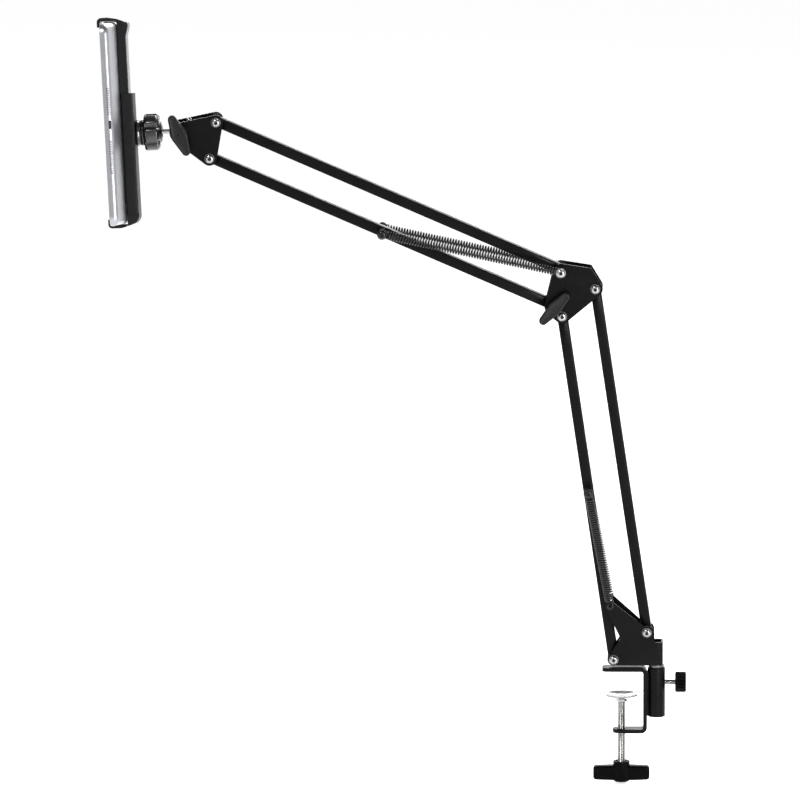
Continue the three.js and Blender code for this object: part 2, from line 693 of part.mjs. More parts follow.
function tabletParts(holder) {
  const { front: face, back, half, top, bottom } = TABLET;
  const { half: wide, margin } = DISPLAY;
  const inside = face + 3 + GAP;
  const port = cut(
    edgeSlot(1.3, -half + 0.2, -half + 7, PORT_Z - 4, PORT_Z + 4),
    edgeSlot(0.7, -half - 1, -half + 6, PORT_Z - 3.3, PORT_Z + 3.3),
  );
  const power = edgeSlot(0.9, half - 2, half + 0.6, POWER[0] + GAP, POWER[1] - GAP);
  const volume = edgeSlot(0.9, VOLUME[0] + GAP, VOLUME[1] - GAP, top - 2, top + 0.6);
  const display = block(face + 1.2, inside - GAP, -wide, wide, bottom + margin, top - margin);
  add("tablet_shell", tabletShell(), aluminium, holder);
  add("tablet_glass", prismX(tabletOutline(1.7), face, face + 0.8), glass, holder);
  add("tablet_display", display, lcd, holder);
  add("tablet_battery", block(inside, back - 2, -60, 110, bottom + 20, top - 20), battery, holder);
  add("tablet_board", block(inside, back - 2.4, -125, -70, bottom + 30, top - 30), board, holder);
  add("charge_port", port, darkSteel, holder);
  add("tablet_camera", pegX([118, top - 18], 4, back + GAP, back + 1.2), glass, holder);
  add("power_button", power, aluminium, holder);
  add("volume_rocker", volume, aluminium, holder);
}

// ---------------------------------------------------------------- assembly
function buildClamp() {
  add("clamp_bracket", clampBracket(), blackPaint);
  add("socket_tube", socketTube(), blackPaint);
  add("pressure_disc", pressureDisc(), chrome);
  add("clamp_screw", clampScrew(), chrome);
  add("clamp_handle", clampHandle(), blackPlastic);
  add("thumbscrew_shank", thumbscrewShank(), darkSteel);
  add("thumbscrew_knob", thumbscrewKnob(), blackPlastic);
}

function buildArm() {
  add("base_bracket", baseBracket(), blackPaint);
  add("base_pin", basePin(), darkSteel);
  add("base_bolt_left", bolt(BASE_LEFT), chrome);
  add("base_bolt_right", bolt(BASE_RIGHT), chrome);

  const lowerLength = Math.hypot(...LOWER_ARM);
  const upperLength = Math.hypot(...UPPER_ARM);
  add("lower_left_tube", armTube(BASE_LEFT, ELBOW_LEFT, [lowerLength * LOWER_HANG]), blackPaint);
  add("lower_right_tube", armTube(BASE_RIGHT, ELBOW_RIGHT), blackPaint);
  add("upper_bottom_tube", armTube(ELBOW_LOW, HEAD_LOW, [upperLength * UPPER_HANG]), blackPaint);
  add("upper_top_tube", armTube(ELBOW_TOP, HEAD_TOP), blackPaint);

  add("elbow_plate_front", elbowPlate(-1), blackPaint);
  add("elbow_plate_rear", elbowPlate(1), blackPaint);
  add("elbow_bolt_left", bolt(ELBOW_LEFT), chrome);
  add("elbow_bolt_right", bolt(ELBOW_RIGHT), chrome);
  add("elbow_anchor_bolt", springAnchor(ELBOW_TOP, PLATE_OUT + GAP), chrome);
  add("elbow_clamp_bolt", clampBolt(ELBOW_LOW, ELBOW_KNOB), darkSteel);
  add("elbow_knob", wingKnob(ELBOW_LOW, ELBOW_KNOB), blackPlastic);

  const tubeFace = TUBE.side / 2 + GAP;
  add("lower_spring_stud", springAnchor(lowerAnchor, tubeFace), darkSteel);
  add("upper_spring_stud", springAnchor(upperAnchor, tubeFace), darkSteel);
  for (const [side, y] of [["front", -SPRING.y], ["rear", SPRING.y]]) {
    add(`lower_spring_${side}`, springBody(lowerAnchor, EAR.at, y), springSteel);
    add(`upper_spring_${side}`, springBody(upperAnchor, ELBOW_TOP, y), springSteel);
  }
}

function buildHead() {
  add("head_plate_front", headPlate(-1), blackPaint);
  add("head_plate_rear", headPlate(1), blackPaint);
  add("head_bolt_top", bolt(HEAD_TOP), chrome);
  add("head_bolt_bottom", bolt(HEAD_LOW), chrome);
  add("head_clamp_bolt", clampBolt(HEAD_TILT, HEAD_KNOB), darkSteel);
  add("head_knob", wingKnob(HEAD_TILT, HEAD_KNOB), blackPlastic);
  add("tilt_block", tiltBlock(), blackPaint);
  add("tilt_block_screw", blockScrew(), chrome);
  add("ball_stud", ballStud(), chrome);
}

function buildHolder() {
  const socket = new THREE.Group();
  socket.position.set(BALL[0], 0, BALL[1]);
  socket.rotation.set(0, LEAN, YAW);
  prompter.add(socket);
  add("ball_cup", ballCup(), blackPlastic, socket);
  add("socket_housing", socketHousing(), glossPlastic, socket);
  add("pivot_screw", pivotScrew(), darkSteel, socket);
  add("lock_ring", lockRing(), glossPlastic, socket);

  const holder = new THREE.Group();
  holder.rotation.set(ROLL, 0, 0);
  socket.add(holder);
  add("holder_body", holderBody(), blackPlastic, holder);
  add("upper_jaw", upperJaw(), glossPlastic, holder);
  add("lower_jaw_pad", jawPad(TABLET.bottom - GAP - PAD), rubber, holder);
  add("upper_jaw_pad", jawPad(TABLET.top + GAP), rubber, holder);
  add("back_pad_front", backPad(-1), rubber, holder);
  add("back_pad_rear", backPad(1), rubber, holder);
  add("holder_spring", holderSpring(), springSteel, holder);
  tabletParts(holder);
}

buildClamp();
buildArm();
buildHead();
buildHolder();

export default prompter;
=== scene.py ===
"""Looks of a tablet prompter: a spring-balanced scissor arm on a desk clamp, which holds a tablet.

Lengths in this file are millimetres and become metres where a mesh is made. +Z is up, the arm folds
in the XZ plane and reaches towards -X, and -Y is the side with the knobs.
"""
import json
import math

import bmesh
import bpy
import numpy as np
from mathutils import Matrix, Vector
from mathutils.geometry import tessellate_polygon


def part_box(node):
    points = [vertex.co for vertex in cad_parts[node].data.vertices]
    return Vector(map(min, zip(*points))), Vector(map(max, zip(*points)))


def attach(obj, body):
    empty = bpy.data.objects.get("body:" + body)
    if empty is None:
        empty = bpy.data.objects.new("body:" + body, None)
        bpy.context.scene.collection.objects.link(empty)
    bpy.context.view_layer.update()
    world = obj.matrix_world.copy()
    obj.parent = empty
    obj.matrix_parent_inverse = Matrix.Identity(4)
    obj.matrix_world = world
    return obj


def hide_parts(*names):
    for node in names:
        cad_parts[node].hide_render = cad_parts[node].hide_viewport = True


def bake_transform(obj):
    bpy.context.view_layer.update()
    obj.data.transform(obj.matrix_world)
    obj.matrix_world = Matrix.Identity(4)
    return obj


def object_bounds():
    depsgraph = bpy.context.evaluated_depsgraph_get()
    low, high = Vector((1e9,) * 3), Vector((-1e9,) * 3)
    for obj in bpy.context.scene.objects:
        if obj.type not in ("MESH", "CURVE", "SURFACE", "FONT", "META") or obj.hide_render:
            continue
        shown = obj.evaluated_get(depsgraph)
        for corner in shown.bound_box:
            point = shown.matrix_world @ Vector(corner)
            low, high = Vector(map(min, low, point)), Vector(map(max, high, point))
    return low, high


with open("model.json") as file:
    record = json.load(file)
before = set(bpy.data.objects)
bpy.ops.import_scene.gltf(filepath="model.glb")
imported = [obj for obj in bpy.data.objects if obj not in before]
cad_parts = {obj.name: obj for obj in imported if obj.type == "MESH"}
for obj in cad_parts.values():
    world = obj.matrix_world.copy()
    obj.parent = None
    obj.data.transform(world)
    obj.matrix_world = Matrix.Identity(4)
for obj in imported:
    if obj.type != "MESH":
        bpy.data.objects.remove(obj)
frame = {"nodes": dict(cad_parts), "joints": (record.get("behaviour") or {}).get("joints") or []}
cad_low, cad_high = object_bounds()
MM = 0.001
X, Y, Z = np.eye(3)


# ------------------------------------------------------------------ finishes
def colour(hex_code):
    """sRGB hex to linear RGBA."""
    value = np.array([int(hex_code[i : i + 2], 16) for i in (1, 3, 5)]) / 255
    linear = np.where(value <= 0.04045, value / 12.92, ((value + 0.055) / 1.055) ** 2.4)
    return (*linear.tolist(), 1.0)


def put(tree, kind, links=None, **settings):
    """Adds a node. Settings are its properties or input sockets, and links feed its inputs."""
    made = tree.nodes.new(kind)
    for key, value in settings.items():
        if hasattr(made, key) and key not in made.inputs:
            setattr(made, key, value)
        else:
            made.inputs[key.replace("_", " ")].default_value = value
    for key, source in (links or {}).items():
        socket = made.inputs[key] if isinstance(key, int) else made.inputs[key.replace("_", " ")]
        tree.links.new(source, socket)
    return made


def finish(name, base, roughness, **shader):
    """A material with one principled shader. Returns the material, its tree, its shader and its Object
    coordinates."""
    made = bpy.data.materials.new(name)
    made.use_nodes = True
    tree = made.node_tree
    body = tree.nodes["Principled BSDF"]
    body.inputs["Base Color"].default_value = colour(base)
    body.inputs["Roughness"].default_value = roughness
    for key, value in shader.items():
        body.inputs[key.replace("_", " ")].default_value = value
    where = put(tree, "ShaderNodeTexCoord").outputs["Object"]
    made.diffuse_color = colour(base)
    return made, tree, body, where


MOST_NOISE = (0.3, 0.7)  # the noise keeps mostly between these, so a pattern spans its two ends there


def grain(tree, where, size_mm, detail=2.0, stretch=(1, 1, 1)):
    """Noise whose grains are about size_mm wide, drawn out by stretch."""
    scale = tuple(1 / np.array(stretch, float))
    spread = put(tree, "ShaderNodeMapping", {"Vector": where}, Scale=scale)
    return put(tree, "ShaderNodeTexNoise", {"Vector": spread.outputs[0]}, Scale=1 / (size_mm * MM),
               Detail=detail, Roughness=0.55).outputs["Fac"]


def mottled(tree, body, where, size_mm, low, high, detail=2.0):
    """The colour wanders between two colours, in blotches of size_mm."""
    ramp = put(tree, "ShaderNodeValToRGB", {0: grain(tree, where, size_mm, detail)})
    for stop, position, shade in zip(ramp.color_ramp.elements, MOST_NOISE, (low, high)):
        stop.position, stop.color = position, colour(shade)
    tree.links.new(ramp.outputs[0], body.inputs["Base Color"])


def hazed(tree, body, where, size_mm, low, high, detail=2.0, stretch=(1, 1, 1)):
    """The roughness wanders from low to high, in patches of size_mm."""
    value = put(tree, "ShaderNodeMapRange", {"Value": grain(tree, where, size_mm, detail, stretch)},
                From_Min=MOST_NOISE[0], From_Max=MOST_NOISE[1], To_Min=low, To_Max=high)
    tree.links.new(value.outputs[0], body.inputs["Roughness"])


def dimpled(tree, body, where, size_mm, depth_mm, strength, detail=2.0):
    """The surface is bumped by grains of size_mm that stand depth_mm high."""
    bump = put(tree, "ShaderNodeBump", {"Height": grain(tree, where, size_mm, detail)},
               Strength=strength, Distance=depth_mm * MM)
    tree.links.new(bump.outputs[0], body.inputs["Normal"])


def powder_coat():
    # Powder-coated mild steel: semi-gloss black with a faint orange peel
    made, *shader = finish("powder_coated_steel", "#050506", 0.3, Specular_IOR_Level=0.09)
    mottled(*shader, 22, "#030304", "#080809", 3)
    hazed(*shader, 7, 0.26, 0.37, 3)
    dimpled(*shader, 1.6, 0.05, 0.5)
    return made


def moulded_nylon():
    # Glass-filled nylon, moulded with a fine spark-eroded texture: even dark grey, dull
    made, *shader = finish("moulded_nylon", "#141415", 0.45, Specular_IOR_Level=0.2)
    mottled(*shader, 9, "#101011", "#181819", 3)
    hazed(*shader, 4, 0.4, 0.52)
    dimpled(*shader, 0.55, 0.05, 0.6)
    return made


def polished_abs():
    # ABS from a polished mould: black and glossy, with soft flow marks in the gloss
    made, *shader = finish("polished_abs", "#060607", 0.16, Specular_IOR_Level=0.34)
    mottled(*shader, 12, "#050506", "#0a0a0b")
    hazed(*shader, 6, 0.12, 0.27, 3)
    dimpled(*shader, 3.5, 0.04, 0.35)
    return made


def glossy_nylon():
    # Nylon from a polished mould: deep black, with little of the room in it
    made, *shader = finish("glossy_nylon", "#030303", 0.22, Specular_IOR_Level=0.04)
    mottled(*shader, 8, "#020202", "#060607", 3)
    hazed(*shader, 5, 0.18, 0.3)
    return made


def glossy_acetal():
    # Acetal, moulded and lightly polished by handling: dark grey under a clear reflection
    made, *shader = finish("glossy_acetal", "#18181a", 0.2, Specular_IOR_Level=0.5, Coat_Weight=0.6)
    mottled(*shader, 7, "#131315", "#1e1e20", 3)
    hazed(*shader, 3, 0.16, 0.3)
    dimpled(*shader, 3.5, 0.05, 0.4)
    return made


def chrome_plate():
    # Bright nickel-chrome plating on steel: a mirror with faint polishing haze
    made, *shader = finish("chrome_plated_steel", "#a6a6a4", 0.14, Metallic=1.0)
    mottled(*shader, 5, "#989896", "#b4b4b2")
    hazed(*shader, 2.5, 0.08, 0.22, 3, stretch=(1, 1, 3))
    return made


def zinc_plate():
    # Zinc-plated steel: dull grey metal, mottled
    made, *shader = finish("zinc_plated_steel", "#5c5d60", 0.34, Metallic=1.0)
    mottled(*shader, 1.8, "#4d4e52", "#6d6e72", 3)
    hazed(*shader, 1.2, 0.26, 0.44)
    return made


def oiled_wire():
    # Oil-blackened spring wire: near black under a film of oil, with a soft sheen
    made, *shader = finish("oil_blackened_wire", "#0f0f10", 0.3, Specular_IOR_Level=0.45)
    mottled(*shader, 2.4, "#0a0a0b", "#151517", 3)
    hazed(*shader, 0.9, 0.26, 0.42)
    return made


def soft_rubber():
    # Nitrile rubber: matt black, finely dusty
    made, *shader = finish("nitrile_rubber", "#141414", 0.85, Specular_IOR_Level=0.3)
    mottled(*shader, 3, "#111111", "#1b1b1b", 3)
    dimpled(*shader, 0.4, 0.04, 0.5)
    return made


def blasted_aluminium():
    # Bead-blasted and clear-anodised aluminium: pale silver, with a fine even sparkle of dimples.
    # Real dimples are 0.1 mm wide: these are drawn coarser, so that they show
    made, *shader = finish("bead_blasted_aluminium", "#a4a5a8", 0.3, Metallic=1.0)
    dimple = 0.5
    mottled(*shader, dimple, "#9c9da1", "#b0b1b4", 1)
    hazed(*shader, 9, 0.3, 0.38)
    dimpled(*shader, dimple, 0.01, 0.5, 1)
    return made


def cover_glass():
    # Black-printed cover glass: a deep, still mirror
    made, *shader = finish("cover_glass", "#08090b", 0.04, Coat_Weight=0.5)
    hazed(*shader, 30, 0.03, 0.09, 3)
    return made


def display_film():
    # The display's back film: dark and slightly satin
    made, *shader = finish("display_film", "#15171c", 0.35)
    mottled(*shader, 14, "#121419", "#1a1d23", 3)
    return made


def battery_pouch():
    # Laminated foil pouch: grey with soft wrinkles
    made, *shader = finish("battery_pouch", "#4a4c50", 0.5, Metallic=0.4)
    mottled(*shader, 20, "#434549", "#54565b")
    dimpled(*shader, 8, 0.3, 0.6, 4)
    return made


def circuit_board():
    # Green solder mask over copper tracks, in rows a few millimetres apart
    made, tree, body, where = finish("solder_mask", "#1c4a34", 0.4)
    tracks = put(tree, "ShaderNodeTexBrick", {"Vector": where}, Scale=220.0, Mortar_Size=0.08,
                 Color1=colour("#1b4732"), Color2=colour("#1f5239"), Mortar=colour("#2f6a4a"))
    tree.links.new(tracks.outputs[0], body.inputs["Base Color"])
    return made


def dyed_nylon():
    # Unfilled nylon, turned and dyed black: waxy
    made, *shader = finish("dyed_nylon", "#151516", 0.42)
    mottled(*shader, 3, "#101011", "#1a1a1b")
    return made


def black_oxide():
    # Steel blackened in a hot oxide bath and oiled: near black, glossy
    made, *shader = finish("black_oxide_steel", "#1a1a1c", 0.24, Metallic=0.5)
    mottled(*shader, 2, "#131315", "#222225", 3)
    hazed(*shader, 1, 0.18, 0.3)
    return made


FINISH = {
    "black_paint": powder_coat(),
    "black_plastic": moulded_nylon(),
    "gloss_plastic": polished_abs(),
    "chrome": chrome_plate(),
    "dark_steel": zinc_plate(),
    "spring_steel": oiled_wire(),
    "rubber": soft_rubber(),
    "aluminium": blasted_aluminium(),
    "black_glass": cover_glass(),
    "display": display_film(),
    "battery": battery_pouch(),
    "board": circuit_board(),
}
WASHER_NYLON, BLACK_OXIDE = dyed_nylon(), black_oxide()
GLOSSY_NYLON, GLOSSY_ACETAL = glossy_nylon(), glossy_acetal()


# ------------------------------------------------------------------ places taken from the CAD
def middle(node):
    """The middle of a CAD node's box."""
    low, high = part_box(node)
    return np.array((low + high) / 2) / MM


def span(node):
    """The lowest and highest corners of a CAD node's box."""
    low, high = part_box(node)
    return np.array(low) / MM, np.array(high) / MM


def unit(v):
    v = np.asarray(v, float)
    return v / np.linalg.norm(v, axis=-1, keepdims=True)


def pivot(node):
    """The middle of a bolt, brought to the arm's plane."""
    at = middle(node)
    return np.array([at[0], 0.0, at[2]])


JOINT = {j["name"]: j for j in frame["joints"]}
BASE_LEFT, BASE_RIGHT = pivot("base_bolt_left"), pivot("base_bolt_right")
ELBOW_LEFT, ELBOW_RIGHT = pivot("elbow_bolt_left"), pivot("elbow_bolt_right")
ELBOW_TOP, ELBOW_LOW = pivot("elbow_anchor_bolt"), pivot("elbow_clamp_bolt")
HEAD_TOP, HEAD_LOW = pivot("head_bolt_top"), pivot("head_bolt_bottom")
HEAD_TILT = pivot("head_clamp_bolt")
LOWER_STUD, UPPER_STUD = pivot("lower_spring_stud"), pivot("upper_spring_stud")
EAR = np.array([-11.3, 0, 69.0])  # where the base bracket's ears hold the lower springs
BALL = np.array(JOINT["ball_pitch"]["pos_m"]) / MM
ROD = unit(BALL - HEAD_TILT)  # from the tilt axis to the ball
SOCKET_AXIS = unit(JOINT["holder_roll"]["axis"])  # away from the tablet
TABLET_UP = unit(JOINT["jaw_slide"]["axis"])
TABLET_SIDE = np.cross(TABLET_UP, SOCKET_AXIS)


def in_holder(points):
    """Points of the tablet holder's own frame: x away from the screen, z up the tablet."""
    return BALL + np.asarray(points, float) @ np.array([SOCKET_AXIS, TABLET_SIDE, TABLET_UP])


# ------------------------------------------------------------------ meshes
def piece(name, points, faces, slot, body, stands_for=(), soft=0.0, sharp=32, material=None):
    """A closed mesh of points in millimetres, welded, faces outwards, with edges rounded to soft."""
    mesh = bpy.data.meshes.new(name)
    mesh.from_pydata(np.asarray(points, float) * MM, [], [list(map(int, f)) for f in faces])
    weld = bmesh.new()
    weld.from_mesh(mesh)
    bmesh.ops.remove_doubles(weld, verts=weld.verts, dist=2e-6)
    bmesh.ops.dissolve_degenerate(weld, edges=weld.edges, dist=1e-7)
    bmesh.ops.recalc_face_normals(weld, faces=weld.faces)
    weld.to_mesh(mesh)
    weld.free()
    return settle(bpy.data.objects.new(name, mesh), slot, body, stands_for, soft, sharp, material)


def settle(made, slot, body, stands_for, soft, sharp, material=None):
    """Finishes a new object: shading, rounded edges, material, and the body that it rides on."""
    bpy.context.scene.collection.objects.link(made)
    made.data.shade_smooth()
    made.data.set_sharp_from_angle(angle=math.radians(sharp))
    if soft:
        bevel = made.modifiers.new("rounded_edges", "BEVEL")
        bevel.width, bevel.segments = soft * MM, 3
        bevel.limit_method, bevel.angle_limit = "ANGLE", math.radians(max(sharp, 30))
        bevel.harden_normals = True
    made.data.materials.clear()
    made.data.materials.append(material or FINISH[slot])
    if stands_for:
        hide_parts(*stands_for)
    if body:
        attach(made, body)
    return made


def lattice(rows, cols, wrap_rows=False, wrap_cols=True):
    """Quads of a grid of points, joined end to end in the directions that wrap."""
    r = np.arange(rows if wrap_rows else rows - 1)
    c = np.arange(cols if wrap_cols else cols - 1)
    r, c = (a.ravel() for a in np.meshgrid(r, c, indexing="ij"))
    r1, c1 = (r + 1) % rows, (c + 1) % cols
    return np.stack([r * cols + c, r * cols + c1, r1 * cols + c1, r1 * cols + c], -1)


def grid(points, **wrap):
    """(points, faces) of a surface given as an array of rows, columns and xyz."""
    rows, cols = points.shape[:2]
    return points.reshape(-1, 3), lattice(rows, cols, **wrap)


def closed_by(rings, first=None, last=None):
    """Closes a stack of rings: each end gets one more ring, shrunk to a point, which is the middle of
    the end ring unless it is given."""
    first = rings[0].mean(0) if first is None else first
    last = rings[-1].mean(0) if last is None else last
    caps = [np.tile(np.asarray(point, float), (1, rings.shape[1], 1)) for point in (first, last)]
    return grid(np.concatenate([caps[0], rings, caps[1]]))


def several(*parts):
    """One (points, faces) of several, each still closed on its own."""
    points, faces, count = [], [], 0
    for p, f in parts:
        points.append(np.asarray(p, float))
        faces.extend([[int(i) + count for i in face] for face in f])
        count += len(p)
    return np.concatenate(points), faces


def softened(corners, reach, steps=4, closed=True):
    """Rounds a polygon: each corner becomes the parabola between points `reach` before and after it."""
    p = np.asarray(corners, float)
    back, ahead = np.roll(p, 1, 0) - p, np.roll(p, -1, 0) - p
    long_back, long_ahead = (np.linalg.norm(v, axis=1, keepdims=True) for v in (back, ahead))
    a = p + back * np.minimum(reach / np.maximum(long_back, 1e-9), 0.45)
    b = p + ahead * np.minimum(reach / np.maximum(long_ahead, 1e-9), 0.45)
    s = np.linspace(0, 1, steps + 1)[None, :, None]
    q = (1 - s) ** 2 * a[:, None] + 2 * s * (1 - s) * p[:, None] + s**2 * b[:, None]
    if not closed:
        q[0], q[-1] = p[0], p[-1]
    return q.reshape(-1, p.shape[1])


def cross_axes(axis):
    """Two unit vectors square to an axis and to each other."""
    axis = unit(axis)
    side = unit(np.cross(axis, Y if abs(axis[1]) < 0.9 else X))
    return side, np.cross(axis, side)


def turned(profile, at, axis, sides=48, lobes=None, hollow=False):
    """Turns a profile of [radius, height] about an axis: at + r (cos t side + sin t up) + h axis.
    lobes(t, r, h) may scale the radius. A hollow profile is a closed ring, others end on the axis."""
    p = np.asarray(profile, float)
    if not hollow:
        p = np.concatenate([[[0, p[0, 1]]], p, [[0, p[-1, 1]]]])
    t = np.linspace(0, 2 * np.pi, sides, endpoint=False)
    r, h = p[:, 0][:, None], p[:, 1][:, None]
    r = r * (lobes(t[None], r, h) if lobes else np.ones_like(t)[None])
    side, up = cross_axes(axis)
    points = (np.asarray(at, float) + r[..., None] * (np.cos(t)[None, :, None] * side
              + np.sin(t)[None, :, None] * up) + h[..., None] * unit(axis))
    return grid(points, wrap_rows=hollow)


def wire(path, radius, sides=10):
    """Carries a circle along a path without twist, and closes both ends with a low dome.
    Each circle starts turned back by the angle that its frame has gained since the one before."""
    path = np.asarray(path, float)
    t = unit(np.gradient(path, axis=0))
    n = unit(np.cross(t, unit([0.31, 0.52, 0.79])))
    b = np.cross(t, n)
    step = path[1:] - path[:-1]

    def mirrored(v, by):
        size = np.maximum((by * by).sum(1, keepdims=True), 1e-18)
        return v - 2 * (by * v).sum(1, keepdims=True) / size * by

    carried = mirrored(mirrored(n[:-1], step), t[1:] - mirrored(t[:-1], step))
    gained = np.arctan2((carried * b[1:]).sum(1), (carried * n[1:]).sum(1))
    turn = np.concatenate([[0], np.cumsum(gained)])[:, None]
    a = np.linspace(0, 2 * np.pi, sides, endpoint=False)[None] + turn
    ring = np.cos(a)[..., None] * n[:, None] + np.sin(a)[..., None] * b[:, None]
    points = path[:, None] + radius * ring
    narrow, out, tip = 0.7 * radius, 0.35 * radius, 0.5 * radius  # the dome's second ring and its tip
    first = path[0] + narrow * ring[0] - out * t[0]
    last = path[-1] + narrow * ring[-1] + out * t[-1]
    return closed_by(np.stack([first, *points, last]), path[0] - tip * t[0], path[-1] + tip * t[-1])


def prism(outline, holes, near, far, place=None):
    """A plate between y near and far, from a 2D outline in x and z, with holes given the same way."""
    loops = [np.asarray(outline, float)] + [np.asarray(h, float) for h in holes]
    flat = [[Vector((x, z, 0)) for x, z in loop] for loop in loops]
    caps = tessellate_polygon(flat)
    xz = np.concatenate(loops)
    count = len(xz)
    points = np.concatenate([np.insert(xz, 1, near, 1), np.insert(xz, 1, far, 1)])
    faces = [list(c) for c in caps] + [[i + count for i in c] for c in caps]
    start = 0
    for loop in loops:
        i = np.arange(len(loop))
        j = (i + 1) % len(loop)
        faces += (np.stack([i, j, j + count, i + count], 1) + start).tolist()
        start += len(loop)
    return (place(points) if place else points), faces


def round_of(centre, radius, sides):
    """A circle in x and z about a point."""
    t = np.linspace(0, 2 * np.pi, sides, endpoint=False)
    return np.stack([centre[0] + radius * np.cos(t), centre[-1] + radius * np.sin(t)], 1)


def belt(*rounds, sides=72):
    """The convex outline round circles of [x, z, radius]: the point furthest along each direction,
    and the points between keep to the straight tangents."""
    t = np.linspace(0, 2 * np.pi, sides * 2, endpoint=False)
    away = np.stack([np.cos(t), np.sin(t)], 1)
    c = np.asarray(rounds, float)
    reach = away @ c[:, :2].T + c[:, 2]
    best = reach.argmax(1)
    return c[best, :2] + c[best, 2:] * away


def rounded_copy(node, slot, body, soft, sharp=30):
    """A welded copy of a CAD node, with coplanar faces joined and its edges rounded."""
    mesh = frame["nodes"][node].data.copy()
    weld = bmesh.new()
    weld.from_mesh(mesh)
    bmesh.ops.remove_doubles(weld, verts=weld.verts, dist=2e-6)
    bmesh.ops.dissolve_limit(weld, angle_limit=math.radians(1), verts=weld.verts, edges=weld.edges)
    weld.to_mesh(mesh)
    weld.free()
    made = bpy.data.objects.new(node + "_finished", mesh)
    return settle(made, slot, body, [node], soft, sharp)


# ------------------------------------------------------------------ fasteners
def thread(radius, low, high, pitch, depth, at, axis, sides=28, rows_per_turn=8):
    """A screw thread: the radius swings by depth with the height less the share of a turn."""
    rows = int((high - low) / pitch * rows_per_turn) + 1
    h = np.linspace(low, high, rows)[:, None]
    t = np.linspace(0, 2 * np.pi, sides, endpoint=False)[None]
    phase = (h / pitch - t / (2 * np.pi)) % 1
    fade = np.clip(np.minimum(h - low, high - h) / pitch, 0, 1)
    r = radius - depth * fade * np.abs(2 * phase - 1) ** 0.8
    at, axis = np.asarray(at, float), unit(axis)
    side, up = cross_axes(axis)
    round_axis = np.cos(t)[..., None] * side + np.sin(t)[..., None] * up
    rows = at + r[..., None] * round_axis + h[..., None] * axis
    return closed_by(rows, at + low * axis, at + high * axis)


def six_sided(t):
    """How much further out than the middle of its flats a hexagon is, at an angle."""
    return 1 / np.cos((t + np.pi / 6) % (np.pi / 3) - np.pi / 6)


def hex_nut(at, axis, start, height, across=8.0):
    """A six-sided nut, drawn in a little at both faces."""
    flat, chamfer, end = across / 2, 0.4, start + height
    return turned([[flat * 0.93, start], [flat, start + chamfer], [flat, end - chamfer],
                   [flat * 0.93, end]], at, axis, 36,
                  lambda t, r, h: np.where(r > flat * 0.8, six_sided(t), 1.0))


def pan_head(at, outwards, seat, radius=4.5, height=3.2, recess=1.55):
    """A domed head with a six-sided key recess, from a seat distance along outwards. Its radius falls
    as 1 - 0.42 s^2.2 up the dome."""
    s = np.linspace(0, 1, 7)[:, None]
    dome = np.concatenate([radius * (1 - 0.42 * s**2.2), seat + height * (0.35 + 0.65 * s)], 1)
    top, depth, rim = seat + height, 1.9, 0.25
    profile = [[radius * 0.96, seat], [radius, seat + rim], *dome.tolist(),
               [recess + 0.35, top], [recess, top - rim], [recess * 0.87, top - depth]]

    def keyed(t, r, h):
        return np.where((r <= recess + 0.01) & (h > seat + 0.5), six_sided(t), 1.0)
    return turned(profile, at, outwards, 48, keyed)


def washer(at, axis, start, thick, radius=5.6, bore=2.6):
    """A flat ring with its outer edges eased."""
    edge, end = 0.18, start + thick
    return turned([[bore, start], [radius - edge, start], [radius, start + edge], [radius, end - edge],
                   [radius - edge, end], [bore, end]], at, axis, 48, hollow=True)


def bolt(node, at, body):
    """A pan-head bolt through both plates, with its nut; its washers and the shade in its key recess
    are pieces of their own."""
    low, high = span(node)
    front, rear = low[1], high[1]
    head, shank = 3.2, 2.4
    seat = -front - head
    made = several(
        pan_head(at, -Y, seat, 4.3, head),
        turned([[shank, front + 3.4], [shank, rear - 1.2]], at, Y, 24),
        thread(shank, rear - 6, rear, 0.8, 0.35, at, Y),
        hex_nut(at, Y, rear - 6, 4.0),
    )
    piece(node + "_washer", *washer(at, -Y, seat - 0.9, 0.85, 5.1), "dark_steel", body)
    key_shade(node, at, -front, body)
    return piece(node + "_finished", *made, "chrome", body, [node])


def key_shade(node, at, head, body):
    """Painted shade: a dark plug in the bottom of a bolt's key recess, in place of the shade that falls
    there.
    """
    plug = turned([[1.3, head - 1.75], [1.3, head - 0.55]], at, -Y, 24)
    piece(node + "_key_shade", *plug, "rubber", body)


def pivot_washers(name, at, body):
    """Dyed nylon washers that fill the space between a tube's sides and the plates."""
    tube_side, plate_face, play = 5.25, 8.2, 0.1
    thick = plate_face - tube_side - 2 * play
    rings = [washer(at, Y * s, tube_side + play, thick, 6.4, 2.7) for s in (-1, 1)]
    return piece(name, *several(*rings), "black_plastic", body, material=WASHER_NYLON)


for body, end, at in (("base", "left", BASE_LEFT), ("base", "right", BASE_RIGHT),
                      ("elbow", "left", ELBOW_LEFT), ("elbow", "right", ELBOW_RIGHT),
                      ("head", "top", HEAD_TOP), ("head", "bottom", HEAD_LOW)):
    bolt(f"{body}_bolt_{end}", at, body)
    pivot_washers(f"{body}_{end}_washers", at, body)
pivot_washers("elbow_top_washers", ELBOW_TOP, "elbow")
pivot_washers("elbow_low_washers", ELBOW_LOW, "elbow")


